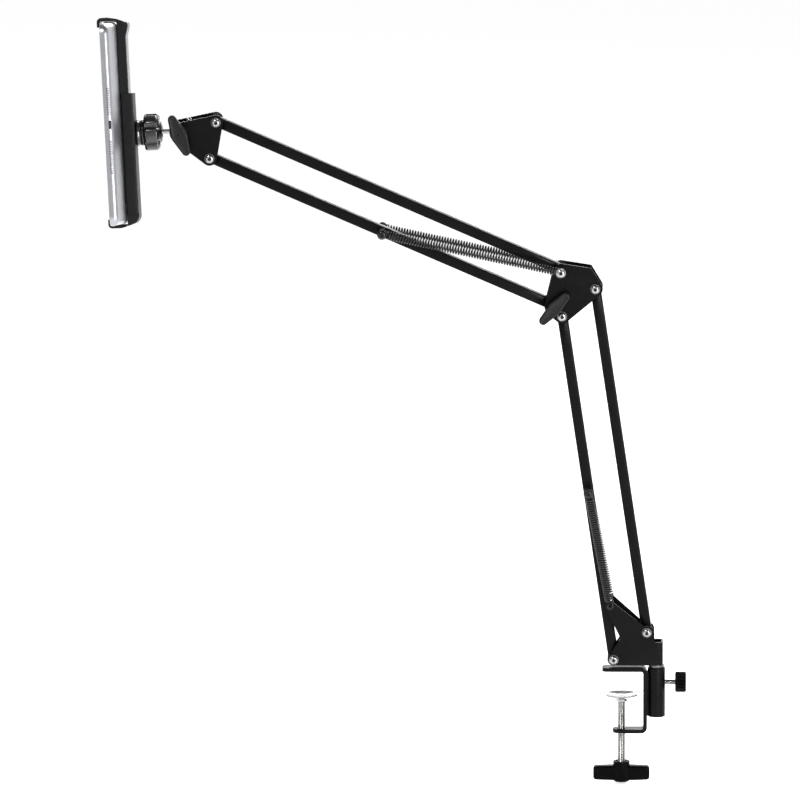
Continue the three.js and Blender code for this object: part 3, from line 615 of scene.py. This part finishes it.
def long_stud(node, at, body, slot, collars, material=None):
    """A stud whose ends stand out beside the arm: threads, lock nuts and a domed front head."""
    low, high = span(node)
    front, rear = low[1], high[1]
    shank, crest, pitch, depth, head, nut = 2.3, 2.45, 0.8, 0.3, 2.9, 4.0
    parts = [
        turned([[shank, front + 2.4], [shank, rear - 0.6], [1.9, rear]], at, Y, 24),
        thread(crest, front + 8.6, -collars - nut, pitch, depth, at, Y),
        thread(crest, collars + 3, rear - 0.4, pitch, depth, at, Y),
        pan_head(at, -Y, -front - head, 4.3, head),
        hex_nut(at, Y, -collars - nut, nut),
        hex_nut(at, Y, collars, nut),
        hex_nut(at, Y, rear - 3.4, 2.8, 7.6),
        washer(at, Y, rear - 4.3, 0.8, 5.0),
        washer(at, -Y, -front - 3.7, 0.8, 5.0),
    ]
    key_shade(node, at, -front, body)
    return piece(node + "_finished", *several(*parts), slot, body, [node], material=material)


long_stud("elbow_anchor_bolt", ELBOW_TOP, "elbow", "chrome", 10.1)
long_stud("lower_spring_stud", LOWER_STUD, "lower_left_bar", "dark_steel", 5.55, BLACK_OXIDE)
long_stud("upper_spring_stud", UPPER_STUD, "upper_bottom_bar", "dark_steel", 5.55, BLACK_OXIDE)


# ------------------------------------------------------------------ arm tubes
def arm_tube(name, start, end, body, side=10.5, wall=1.1, corner=1.5):
    """A square tube with round-cut ends. Round the section runs a rounded square of points (y, w), and
    the wall at w begins at -sqrt(R^2 - w^2) from the first pivot and ends as far past the other."""
    along = unit(end - start)
    across = np.cross(along, Y)
    length = np.linalg.norm(end - start)
    half = side / 2

    def section(h, reach):
        return softened([[-h, -h], [h, -h], [h, h], [-h, h]], reach, 5)

    outer, inner = section(half, corner), section(half - wall, corner * 0.5)
    mid_wall = section(half - wall * 0.5, corner)
    rim = section(half - wall * 0.18, corner)
    rim_in = section(half - wall * 0.82, corner * 0.6)

    def ring(sec, far, inset):
        out = np.sqrt(np.maximum(half**2 - np.clip(sec[:, 1], -half, half) ** 2, 0)) - inset
        x = length + out if far else -out
        return start + x[:, None] * along + sec[:, :1] * Y + sec[:, 1:] * across

    def cut_end(far):
        """From the bore over the rounded rim to the outside."""
        return [ring(inner, far, 0.5), ring(rim_in, far, 0.08), ring(mid_wall, far, 0),
                ring(rim, far, 0.05), ring(outer, far, 0.3)]

    near, far = cut_end(False), cut_end(True)[::-1]
    shares = np.linspace(0, 1, 9)[1:-1, None, None]
    points = np.stack([*near, *(near[-1] + shares * (far[0] - near[-1])), *far])
    return piece(name + "_finished", *grid(points, wrap_rows=True), "black_paint", body, [name],
                 sharp=50)


arm_tube("lower_left_tube", BASE_LEFT, ELBOW_LEFT, "lower_left_bar")
arm_tube("lower_right_tube", BASE_RIGHT, ELBOW_RIGHT, "lower_right_bar")
arm_tube("upper_bottom_tube", ELBOW_LOW, HEAD_LOW, "upper_bottom_bar")
arm_tube("upper_top_tube", ELBOW_TOP, HEAD_TOP, "upper_top_bar")


# ------------------------------------------------------------------ plates
def pair_of_plates(names, body, outline, holes):
    """Two flat plates with punched holes and softly rounded edges."""
    hole_r = 2.7
    for name in names:
        low, high = span(name)
        made = prism(outline, [round_of(h, hole_r, 28) for h in holes], low[1], high[1])
        piece(name + "_finished", *made, "black_paint", body, [name], soft=0.45, sharp=40)


ELBOW_CORNER = [-32.0, 410.5]  # the elbow plates' corner that no bolt goes through
pair_of_plates(
    ("elbow_plate_front", "elbow_plate_rear"), "elbow",
    belt([ELBOW_TOP[0], ELBOW_TOP[2], 7.5], [ELBOW_LOW[0], ELBOW_LOW[2], 10],
         [ELBOW_LEFT[0], ELBOW_LEFT[2], 7.5], [ELBOW_RIGHT[0], ELBOW_RIGHT[2], 7.5],
         [*ELBOW_CORNER, 2], sides=60),
    (ELBOW_TOP, ELBOW_LOW, ELBOW_LEFT, ELBOW_RIGHT))
pair_of_plates(
    ("head_plate_front", "head_plate_rear"), "head",
    belt([HEAD_TOP[0], HEAD_TOP[2], 7.2], [HEAD_LOW[0], HEAD_LOW[2], 7.5],
         [HEAD_TILT[0], HEAD_TILT[2], 10], sides=60),
    (HEAD_TOP, HEAD_LOW, HEAD_TILT))
rounded_copy("base_bracket", "black_paint", "base", 0.4)


# ------------------------------------------------------------------ springs
def tension_spring(name, node, start, end, pitch, hook_r, end_hook_r):
    """A tension spring of round wire between two hooks."""
    y = middle(node)[1]
    start, end = start + Y * y, end + Y * y
    along = unit(end - start)
    out = np.cross(along, Y)
    length = np.linalg.norm(end - start)
    mean, wire_r, ramp_long = 3.6, 0.74, 2.6
    first, last = hook_r + ramp_long, length - end_hook_r - ramp_long
    turns = round((last - first) / pitch)
    a = np.linspace(0, 2 * np.pi * turns, turns * 24 + 1)[:, None]
    coil = start + (first + (last - first) * a / a[-1]) * along
    coil = coil + mean * (np.cos(a) * out + np.sin(a) * Y)

    def hook(at, r, towards, joins):
        """250 degrees of a ring round the stud, in the arm's plane, then a cubic ramp to the coil."""
        s = np.linspace(np.radians(-250), 0, 40)[:, None]
        ring = at + r * (np.cos(s) * out - np.sin(s) * (-towards))
        b = np.linspace(0, 1, 12)[1:-1, None]
        p0, p1 = ring[-1], joins
        m0 = towards * np.linalg.norm(p1 - p0) * 1.2
        m1 = towards * np.linalg.norm(p1 - p0) * 0.4
        ramp = ((2 * b**3 - 3 * b**2 + 1) * p0 + (b**3 - 2 * b**2 + b) * m0
                + (3 * b**2 - 2 * b**3) * p1 + (b**3 - b**2) * m1)
        return np.concatenate([ring, ramp])

    path = np.concatenate([hook(start, hook_r, along, coil[0]), coil,
                           hook(end, end_hook_r, -along, coil[-1])[::-1]])
    made = piece(name, *wire(path, wire_r), "spring_steel", None, [node], sharp=180)
    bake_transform(made)
    return made


for side in ("front", "rear"):
    tension_spring(f"lower_coil_{side}", f"lower_spring_{side}",
                   LOWER_STUD, EAR, 2.3, 3.1, 2.6)
    tension_spring(f"upper_coil_{side}", f"upper_spring_{side}",
                   UPPER_STUD, ELBOW_TOP, 2.75, 3.1, 3.1)


# ------------------------------------------------------------------ clamp
def clamp_strip():
    """A flat bar bent into a C. Stations run down the middle of its thickness, round two bends. Each
    carries a rounded rectangle, whose half width follows the rounded jaw tip and the round lower
    end."""
    low, high = span("clamp_bracket")
    half, thick, edge, tip_r = high[1], 3.8, 0.5, 5
    top, leg, bottom = thick / 2, high[0] - thick / 2, low[2] + thick / 2
    bend = 6 - thick / 2  # the outside of each bend has a radius of 6
    tip_x, tail_x = low[0], -half
    q = np.linspace(0, np.pi / 2, 9)[1:-1]
    tip = np.concatenate([[0, 0.25, 0.9], np.linspace(1.8, tip_r, 6)])
    upper = [[tip_x + d, top] for d in tip] + [[0, top], [leg - bend, top]]
    corner_1 = [[leg - bend + bend * np.sin(t), top - bend + bend * np.cos(t)] for t in q]
    down = [[leg, top - bend], [leg, -20], [leg, -40], [leg, bottom + bend]]
    corner_2 = [[leg - bend + bend * np.cos(t), bottom + bend - bend * np.sin(t)] for t in q]
    tail = np.concatenate([np.linspace(8.8, 1.2, 12), [0.7, 0.3, 0.08, 0]])
    lower = [[leg - bend, bottom], [3, bottom]] + [[tail_x + d, bottom] for d in tail]
    path = np.array(upper + corner_1 + down + corner_2 + lower)

    # Half widths: the tip's corners have radius tip_r, and the tail ends in a half circle
    x = path[:, 0]
    short = np.clip(tip_r - np.clip(x - tip_x, 0, None), 0, tip_r)
    plan_tip = half - tip_r + np.sqrt(np.clip(tip_r**2 - short**2, 0, None))
    plan_tail = np.sqrt(np.clip(half**2 - np.clip(half - (x - tail_x), 0, half) ** 2, 0, None))
    on_lower = np.arange(len(path)) >= len(path) - len(lower)
    width = np.where(on_lower, np.clip(plan_tail, 0.6, half), np.clip(plan_tip, half - tip_r, half))

    t = unit(np.gradient(path, axis=0))
    t[: len(tip)], t[-len(tail):] = [1, 0], [-1, 0]
    n = np.stack([-t[:, 1], t[:, 0]], 1)
    h = thick / 2
    u = np.stack([softened([[-w, -h], [w, -h], [w, h], [-w, h]], edge, 4) for w in width])
    centre, normal = (np.insert(v, 1, 0, 1)[:, None] for v in (path, n))
    rings = centre + u[..., :1] * Y + u[..., 1:] * normal
    piece("clamp_strip", *closed_by(rings), "black_paint", "clamp", ["clamp_bracket"], sharp=40)


clamp_strip()


def post_socket():
    """The tube that the arm's pin turns in, with its rim rounded, and a rippled weld on each
    side that joins it to the clamp's leg."""
    low, high = span("socket_tube")
    centre = [middle("socket_tube")[0], 0, 0]
    r, bore, edge = 8.75, 5.1, 0.6
    wall = softened([[bore, low[2]], [r, low[2]], [r, high[2]], [bore, high[2]]], edge, 5)
    tube = turned(wall, centre, Z, 72, hollow=True)
    piece("post_socket", *tube, "black_paint", "clamp", ["socket_tube"], sharp=40)
    leg = span("clamp_bracket")[1][0]
    bead_r, off_middle, ripple_high, ripples_per_mm = 1.5, 3.4, 0.09, 3.9 / (2 * np.pi)
    foot, head = low[2] + bead_r, -bead_r
    z = np.linspace(foot, head, 121)
    for side, label in ((-1, "front"), (1, "rear")):
        middle_line = np.array([leg + 0.5, side * off_middle])
        path = np.column_stack([np.full((len(z), 2), middle_line), z])
        points, faces = wire(path, bead_r, 12)
        ripple = 1 + ripple_high * np.sin(points[:, 2:] * 2 * np.pi * ripples_per_mm)
        points[:, :2] = middle_line + (points[:, :2] - middle_line) * ripple
        piece("weld_" + label, points, faces, "black_paint", "clamp")


post_socket()


def pad_dish():
    """The pressed steel dish on the screw's tip: a shallow cone on a rolled hub, hollow on top."""
    low, high = span("pressure_disc")
    top, bottom = high[2], low[2]
    s = np.linspace(0, 1, 12)[:, None]
    under = np.concatenate([6.9 + 9.7 * s, top - 4.4 + 3.4 * s**1.35], 1)
    over = np.concatenate([15.2 - 12.2 * s, top - 0.25 - 1.5 * np.sin(s * np.pi / 2)], 1)
    profile = [[5.0, bottom], [5.9, bottom + 0.3], [6.2, bottom + 1.0], [6.3, bottom + 2.6],
               *under.tolist(), [16.8, top - 0.8], [16.8, top - 0.3], [16.4, top], [15.8, top],
               *over.tolist()]
    piece("pad_dish", *turned(profile, [0, 0, 0], Z, 96), "chrome", "pressure_pad", ["pressure_disc"],
          sharp=50)


def spindle():
    """The clamp screw, with a rolled thread along nearly all of it."""
    low, high = span("clamp_screw")
    pitch = 1.25
    made = several(
        thread(3.9, low[2] + 8, high[2] - 1.8, pitch, 0.5, [0, 0, 0], Z, 32),
        turned([[3.35, low[2]], [3.35, high[2] - 1.2], [2.5, high[2]]], [0, 0, 0], Z, 32),
    )
    piece("threaded_spindle", *made, "chrome", "screw", ["clamp_screw"], sharp=60)


def tee_handle():
    """A moulded T-handle: a boss, and wings whose section is a rounded rectangle (a superellipse) that
    thins to the ends, where it also shrinks along a quarter circle."""
    low, high = span("clamp_handle")
    half, end_long, power, sides = high[0], 3.0, 0.34, 48
    x = half * np.sin(np.linspace(-np.pi / 2, np.pi / 2, 49))
    outwards = np.abs(x) / half
    end = np.clip((np.abs(x) - (half - end_long)) / end_long, 0, 1)
    shape = np.sqrt(np.clip(1 - end**2 * 0.9, 0.0, 1))
    top, bottom = low[2] + 17.0 - 1.0 * outwards, low[2] + 1.2 + 0.8 * outwards
    mid, tall = (top + bottom) / 2, (top - bottom) / 2 * (0.55 + 0.45 * shape)
    thick = (5.6 - 0.9 * outwards) * (0.45 + 0.55 * shape)
    t = np.linspace(0, 2 * np.pi, sides, endpoint=False)[None]

    def swell(v):
        return np.sign(v) * np.abs(v) ** power

    section_y = thick[:, None] * swell(np.cos(t))
    section_z = mid[:, None] + tall[:, None] * swell(np.sin(t))
    wings = closed_by(np.stack([np.repeat(x[:, None], sides, 1), section_y, section_z], -1))
    boss = turned(softened([[6.6, low[2]], [8.3, low[2] + 1.2], [8.3, high[2]], [5.6, high[2]],
                            [5.2, high[2] - 1.6], [4.0, high[2] - 1.8]], 0.7, 4, closed=False),
                  [0, 0, 0], Z, 64)
    piece("tee_handle", *several(wings, boss), "black_plastic", "screw", ["clamp_handle"], sharp=45,
          material=GLOSSY_NYLON)


pad_dish()
spindle()
tee_handle()


def thumbscrew():
    """The side screw: a threaded shank and a knob with ribs round it."""
    low, high = span("thumbscrew_shank")
    at = [0, 0, middle("thumbscrew_shank")[2]]
    shank = several(
        thread(2.65, low[0], high[0] - 2, 0.9, 0.38, at, X, 24),
        turned([[2.2, low[0]], [2.2, high[0]]], at, X, 24))
    piece("thumbscrew_rod", *shank, "dark_steel", "thumbscrew", ["thumbscrew_shank"], sharp=60,
          material=FINISH["chrome"])
    low, high = span("thumbscrew_knob")
    ribs = 18

    def ribbed(t, r, h):
        deep = np.clip((r - 6) / 3, 0, 1)
        return 1 - 0.1 * deep * np.abs(np.sin(ribs * t / 2)) ** 3

    start, end = low[0], high[0]
    profile = softened([[5.2, start], [9.4, start], [10.3, start + 1.0], [10.3, end - 1.0], [9.4, end],
                        [6.4, end], [6.0, end - 0.7], [0.4, end - 0.7]], 0.5, 3, closed=False)
    piece("thumbscrew_grip", *turned(profile, at, X, ribs * 12, ribbed), "black_plastic", "thumbscrew",
          ["thumbscrew_knob"], sharp=50, material=GLOSSY_NYLON)


thumbscrew()


def swivel_pin():
    """The pin that the arm turns on, with the collar that rests on the post socket."""
    low, high = span("base_pin")
    centre = [middle("base_pin")[0], 0, 0]
    r, collar_r, collar_low, collar_high = 4.7, 7.6, 3.7, 6.6
    profile = softened([[3.6, low[2]], [r, low[2] + 1.1], [r, collar_low], [collar_r, collar_low],
                        [collar_r, collar_high], [r, collar_high], [r, high[2] - 0.8], [3.9, high[2]]],
                       0.35, 3, closed=False)
    piece("swivel_pin", *turned(profile, centre, Z, 48), "dark_steel", "base", ["base_pin"], sharp=40)


swivel_pin()


# ------------------------------------------------------------------ wing knobs
def wing_knob(node, at, body, half, waist, angle, near, far):
    """A lozenge paddle with a pillowed face: belts of tip, waist and tip circles, drawn in by `inset`
    at each depth, with a low raised rib round a shallow field, and a round hub behind."""
    turn = np.radians(angle)
    along = np.array([np.cos(turn), 0, np.sin(turn)])
    across = np.array([-np.sin(turn), 0, np.cos(turn)])
    tip, roll, plate = 4.2, 1.7, -10.1  # tip radius, edge roll, and the y of the plate's front face

    def loop(inset, depth):
        out = belt([half - tip, 0, max(tip - inset, 0.05)], [0, 0, max(waist - inset, 0.05)],
                   [tip - half, 0, max(tip - inset, 0.05)], sides=60)
        return at + out[:, :1] * along + out[:, 1:] * across + depth * Y

    q = np.linspace(0, np.pi / 2, 6)
    levels = [(roll * (1 - np.sin(t)), near - roll * (1 - np.cos(t)) * 0.8) for t in q]
    levels += [(roll * (1 - np.cos(t)), far + roll * (1 - np.sin(t))) for t in q]
    levels += [(2.2, far), (2.7, far + 0.55), (3.3, far + 0.65)]
    rows = np.stack([loop(i, d) for i, d in levels])
    inner = rows[-1].mean(0)
    field = [inner + (rows[-1] - inner) * k + Y * (0.1 * (1 - k)) for k in (0.66, 0.33)]
    paddle = closed_by(np.concatenate([rows, field]), rows[0].mean(0), inner + Y * 0.1)
    hub_r = waist - 0.8
    hub = turned(softened([[hub_r, plate], [hub_r, near - 1]], 0.4, 2, closed=False), at, Y, 48)
    dimple = turned([[1.3, far + 0.75], [1.3, far + 0.25], [0.9, far + 0.05]], at, Y, 24)
    return piece(node + "_finished", *several(paddle, hub, dimple), "black_plastic", body, [node],
                 sharp=50)


wing_knob("elbow_knob", ELBOW_LOW, "elbow_wing_knob", 20.7, 6.6, 47.7, -14.6, -22.0)
wing_knob("head_knob", HEAD_TILT, "head_wing_knob", 21.8, 8.2, -66.5, -20.6, -27.4)


def clamp_bolt(node, at, body):
    """The coach bolt of a wing knob: a shank, and a domed head whose radius falls as 1 - 0.62 s^1.8."""
    low, high = span(node)
    seat, head_r, shank, rim = 10.1, 5.4, 2.4, 1.0
    s = np.linspace(0, 1, 7)[:, None]
    dome = np.concatenate([head_r * (1 - 0.62 * s**1.8), seat + rim + (high[1] - seat - rim) * s], 1)
    made = several(turned([[shank, low[1]], [shank, seat + 0.2]], at, Y, 24),
                   turned([[head_r, seat], *dome.tolist()], at, Y, 48))
    piece(node + "_finished", *made, "dark_steel", body, [node], sharp=50)


clamp_bolt("elbow_clamp_bolt", ELBOW_LOW, "elbow")
clamp_bolt("head_clamp_bolt", HEAD_TILT, "head")


# ------------------------------------------------------------------ head and ball joint
rounded_copy("tilt_block", "black_paint", "tilt", 0.5)


def block_screw():
    """The small screw in the tilt block's top, square to the rod, with its head standing clear."""
    low, high = span("tilt_block_screw")
    out = unit(np.cross(ROD, Y))
    out = out if out[2] > 0 else -out
    at = middle("tilt_block_screw")
    half, core, sunk = abs((high - low)[2]) / 2, 1.3, 1.9
    piece("tilt_block_screw_finished", *several(
        pan_head(at, out, half - sunk, 3.0, 3.2, 1.1),
        turned([[core, -half + 0.2], [core, half - 1.7]], at, out, 20)),
        "chrome", "tilt", ["tilt_block_screw"])


block_screw()


def ball_stud():
    """A chromed ball on a rod: a sphere's profile runs into the neck by a small fillet."""
    reach = np.linalg.norm(BALL - HEAD_TILT)
    r, rod_r, in_block = 7.5, 2.6, 5
    join = math.asin(rod_r / r) + 0.05
    a = np.linspace(0.0, np.pi - join, 30)
    sphere = np.stack([r * np.sin(a), r * np.cos(a)], 1)
    neck = [[rod_r + 0.05, -r * np.cos(join) - 0.6], [rod_r, -r - 1.2], [rod_r, in_block - reach]]
    made = turned(np.concatenate([sphere, neck]), BALL, ROD, 64)
    piece("ball_stud_finished", *made, "chrome", "tilt", ["ball_stud"], sharp=60)


ball_stud()


def half_sphere(r, start, end, count):
    """A sphere's profile as [radius, x] between two values of x."""
    a = np.linspace(math.acos(start / r), math.acos(end / r), count)
    return np.stack([r * np.sin(a), r * np.cos(a)], 1)


def ball_cup():
    """The pressure cup behind the ball, between two spheres, cut off 1 mm behind the ball's middle."""
    outer, inner = half_sphere(9.3, -9.29, -1, 20), half_sphere(7.8, -1, -7.79, 20)
    shell = turned(np.concatenate([outer, inner]), BALL, SOCKET_AXIS, 48, hollow=True)
    piece("ball_cup_finished", *shell, "black_plastic", "cup", ["ball_cup"], sharp=50)


ball_cup()


def socket_housing():
    """The fixed half of the ball joint: a ribbed neck, a shoulder and a coarse external thread."""
    back, shoulder, front = -17.3, -9.1, 2.0
    profile = [[11.2, back], [12.2, back + 0.1], [13.0, back + 0.7], [13.2, back + 1.5],
               [13.2, back + 2.6], [12.6, back + 3.2], [12.6, back + 5.4], [13.2, back + 6.0],
               [13.2, shoulder - 0.5],
               [12.7, shoulder], [10.2, shoulder], [10.2, -4.0], [10.6, -3.2], [10.6, -2.2],
               [10.1, -1.4], [10.1, -0.4], [10.6, 0.4], [10.6, 1.4], [10.2, front], [9.7, front]]
    pocket = np.concatenate([[[9.6, 0.0]], half_sphere(9.6, -0.05, -9.59, 16)])
    made = turned(np.concatenate([profile, pocket]), BALL, SOCKET_AXIS, 72)
    piece("socket_housing_finished", *made, "gloss_plastic", "socket", ["socket_housing"], sharp=45,
          material=GLOSSY_ACETAL)


socket_housing()


def lock_ring():
    """A lobed locking ring: its radius drops into six narrow grooves, which are shallower behind."""
    back, front, r = -8.8, 7.0, 18.6
    lobes = 6

    def grooved(t, rad, h):
        groove = np.abs(np.cos(lobes * t / 2)) ** 14
        outside = np.clip((rad - 13) / 3, 0, 1)
        dip = 0.5 + 0.5 * np.clip((h - back) / 3, 0, 1)
        crown = 0.012 * np.cos(lobes * t)
        return 1 - outside * (0.17 * groove * dip + crown)

    profile = softened([[11.2, back], [17.2, back], [r, back + 1.8], [r, front - 3.2],
                        [16.2, front - 0.4], [11.6, front], [10.6, 8.4], [8.8, 9.0], [7.1, 9.0],
                        [6.8, 8.2], [7.6, 2.8], [10.8, 2.6], [10.9, back]], 0.8, 4)
    piece("lock_ring_finished", *turned(profile, BALL, SOCKET_AXIS, 216, grooved, hollow=True),
          "gloss_plastic", "lock", ["lock_ring"], sharp=45, material=GLOSSY_ACETAL)


lock_ring()


# ------------------------------------------------------------------ tablet holder
rounded_copy("holder_body", "black_plastic", "holder", 0.8, 35)
rounded_copy("upper_jaw", "gloss_plastic", "jaw", 0.8, 35)


for node, body in (("lower_jaw_pad", "holder"), ("upper_jaw_pad", "jaw"), ("back_pad_front", "holder"),
                   ("back_pad_rear", "holder")):
    rounded_copy(node, "rubber", body, 0.35)

MID_HEIGHT = 10.5  # of the tablet, in the holder's frame
NEAR_EDGE = -140.0  # of the tablet, towards the camera


def stacked_plate(levels, half, bottom, top, corner):
    """A plate of rounded rectangles, each drawn in by an inset and set at a depth, its corners quarter
    circles about centres that keep their place until the inset has used their radius up."""
    def outline(inset):
        c = max(corner - inset, 0.4)
        q = np.linspace(0, np.pi / 2, 12)
        right, upper, lower = half - inset - c, top - inset - c, bottom + inset + c
        turns = ((right, lower, -np.pi / 2), (right, upper, 0), (-right, upper, np.pi / 2),
                 (-right, lower, np.pi))
        return np.concatenate([np.stack([y + c * np.cos(q + s), z + c * np.sin(q + s)], 1)
                               for y, z, s in turns])

    rows = np.stack([np.insert(outline(inset), 0, depth, 1) for inset, depth in levels])
    ends = [[levels[i][1], 0, MID_HEIGHT] for i in (0, -1)]
    points, faces = closed_by(rows, *ends)
    return in_holder(points), faces


def tablet_shell():
    """The tablet's shell, drawn in along a quarter ellipse at the rear edge and a small radius at
    the rim."""
    front, back, wide, deep = -39.3, -30.6, 4.6, 5.2
    rim = [(1.75, front + 0.9), (1.7, front + 0.25), (1.35, front + 0.02), (0.5, front),
           (0.12, front + 0.2), (0, front + 0.6)]
    q = np.linspace(0, np.pi / 2, 9)
    rear = [(wide * (1 - np.cos(a)), back - deep + deep * np.sin(a)) for a in q]
    made = stacked_plate(rim + rear, -NEAR_EDGE, -90.0, 111.0, 10.0)
    piece("tablet_shell_finished", *made, "aluminium", "holder",
          ["tablet_shell", "tablet_display", "tablet_battery", "tablet_board"], sharp=40)


tablet_shell()


def tablet_glass():
    """The cover glass, let into the shell's rim, with its front edge eased."""
    front = -39.6
    levels = [(0.3, front + 0.8), (0, front + 0.6), (0, front + 0.3), (0.12, front + 0.08),
              (0.4, front)]
    made = stacked_plate(levels, 138.3, -88.3, 109.3, 8.3)
    piece("tablet_glass_finished", *made, "black_glass", "holder", ["tablet_glass"], sharp=40)


tablet_glass()


def tablet_details():
    """Two rows of speaker holes each side of the charging port, and the port's dark mouth, all on the
    near edge. Each hole is a shallow dark disc that stands a hair proud of the shell. The discs and the
    mouth
    are painted shade: dark pieces in place of the shade inside the openings."""
    proud, sunk, port_x, port_half, pitch, hole_r = 0.06, 0.3, -33.9, 3.0, 1.7, 0.55
    holes = []
    for low, high in ((21, 47), (-38, -4)):
        for row in (-33.4, -35.2):
            for z in np.arange(low, high, pitch):
                at = in_holder([[row, NEAR_EDGE - proud, z]])[0]
                holes.append(turned([[hole_r, 0.0], [hole_r, 0.4]], at, TABLET_SIDE, 12))
    # Painted shade: dark discs in place of the shade inside the speaker holes
    piece("speaker_hole_shade", *several(*holes), "rubber", "holder", sharp=60)

    def slot_shape(half_long, radius, sides, proud):
        ends = ([port_x, MID_HEIGHT + s * half_long, radius] for s in (-1, 1))
        return prism(belt(*ends, sides=sides), [], NEAR_EDGE - proud, NEAR_EDGE + sunk, in_holder)

    # Painted shade: a dark slot in place of the shade inside the charging port's mouth
    piece("port_mouth_shade", *slot_shape(port_half, 1.3, 24, proud), "rubber", "holder")
    piece("port_tongue", *slot_shape(port_half - 0.6, 0.3, 16, proud + 0.05), "dark_steel", "holder")


tablet_details()
for node, slot, body in (("charge_port", "dark_steel", "holder"),
                         ("tablet_camera", "black_glass", "holder"),
                         ("power_button", "aluminium", "power"),
                         ("volume_rocker", "aluminium", "volume")):
    rounded_copy(node, slot, body, 0.2)

# CAD nodes that keep their own mesh take their slot's finish. The last three are inside the tablet
for node, slot in (("pivot_screw", "dark_steel"), ("holder_spring", "spring_steel"),
                   ("tablet_display", "display"), ("tablet_battery", "battery"),
                   ("tablet_board", "board")):
    kept = frame["nodes"][node].data.materials
    kept.clear()
    kept.append(FINISH[slot])


# ------------------------------------------------------------------ studio
def studio():
    """A pale floor under the handle, soft lights, and a far camera in front and a little above."""
    s, z = 60.0, cad_low[2] - 0.002
    mesh = bpy.data.meshes.new("floor")
    mesh.from_pydata([(-s, -s, z), (s, -s, z), (s, s, z), (-s, s, z)], [], [(0, 1, 2, 3)])
    floor = bpy.data.objects.new("floor", mesh)
    bpy.context.scene.collection.objects.link(floor)
    # The paper glows, so that no shadow shows on it
    paper, *_ = finish("paper_backdrop", "#ffffff", 0.9, Specular_IOR_Level=0.0,
                       Emission_Color=(1, 1, 1, 1), Emission_Strength=0.62)
    mesh.materials.append(paper)

    # Bright round the horizon and dim overhead, so that polished and plated parts take contrast
    world = bpy.data.worlds.new("studio")
    bpy.context.scene.world = world
    world.use_nodes = True
    sky = world.node_tree
    ray = put(sky, "ShaderNodeTexCoord")
    height = put(sky, "ShaderNodeSeparateXYZ", {0: ray.outputs["Generated"]})
    ramp = put(sky, "ShaderNodeValToRGB", {0: height.outputs["Z"]})
    stops = ramp.color_ramp.elements
    stops[0].position, stops[0].color = 0.05, (1, 1, 1, 1)
    stops[1].position, stops[1].color = 0.95, (0.16, 0.16, 0.17, 1)
    middle_stop = stops.new(0.42)
    middle_stop.color = (0.4, 0.4, 0.41, 1)
    sky.links.new(ramp.outputs[0], sky.nodes["Background"].inputs[0])
    sky.nodes["Background"].inputs[1].default_value = 1.05

    target, view_width = Vector((-0.2219, 0, 0.2757)), 0.8

    def area(name, offset, width, height, power):
        data = bpy.data.lights.new(name, "AREA")
        data.shape, data.size, data.size_y, data.energy = "RECTANGLE", width, height, power
        lamp = bpy.data.objects.new(name, data)
        lamp.location = target + Vector(offset)
        lamp.rotation_euler = (target - lamp.location).to_track_quat("-Z", "Y").to_euler()
        bpy.context.scene.collection.objects.link(lamp)

    area("key_softbox", (-0.9, -1.3, 1.9), 0.7, 0.7, 26)
    area("fill_softbox", (1.1, -1.7, 0.2), 0.25, 1.5, 34)
    area("rim_softbox", (0.5, 1.3, 1.7), 1.3, 0.5, 26)
    area("low_back_strip", (0.0, 2.5, 0.5), 2.6, 0.35, 14)

    azimuth, elevation, distance = math.radians(0.7), math.radians(11.5), 30.0
    back = Vector((math.sin(azimuth) * math.cos(elevation), -math.cos(azimuth) * math.cos(elevation),
                   math.sin(elevation)))
    data = bpy.data.cameras.new("camera")
    camera = bpy.data.objects.new("camera", data)
    bpy.context.scene.collection.objects.link(camera)
    data.sensor_width = 36
    data.lens = data.sensor_width * distance / view_width
    camera.location = target + back * distance
    camera.rotation_euler = (-back).to_track_quat("-Z", "Y").to_euler()
    data.clip_start, data.clip_end = 1.0, 200
    bpy.context.scene.camera = camera
    bpy.context.scene.view_settings.view_transform = "Standard"


studio()
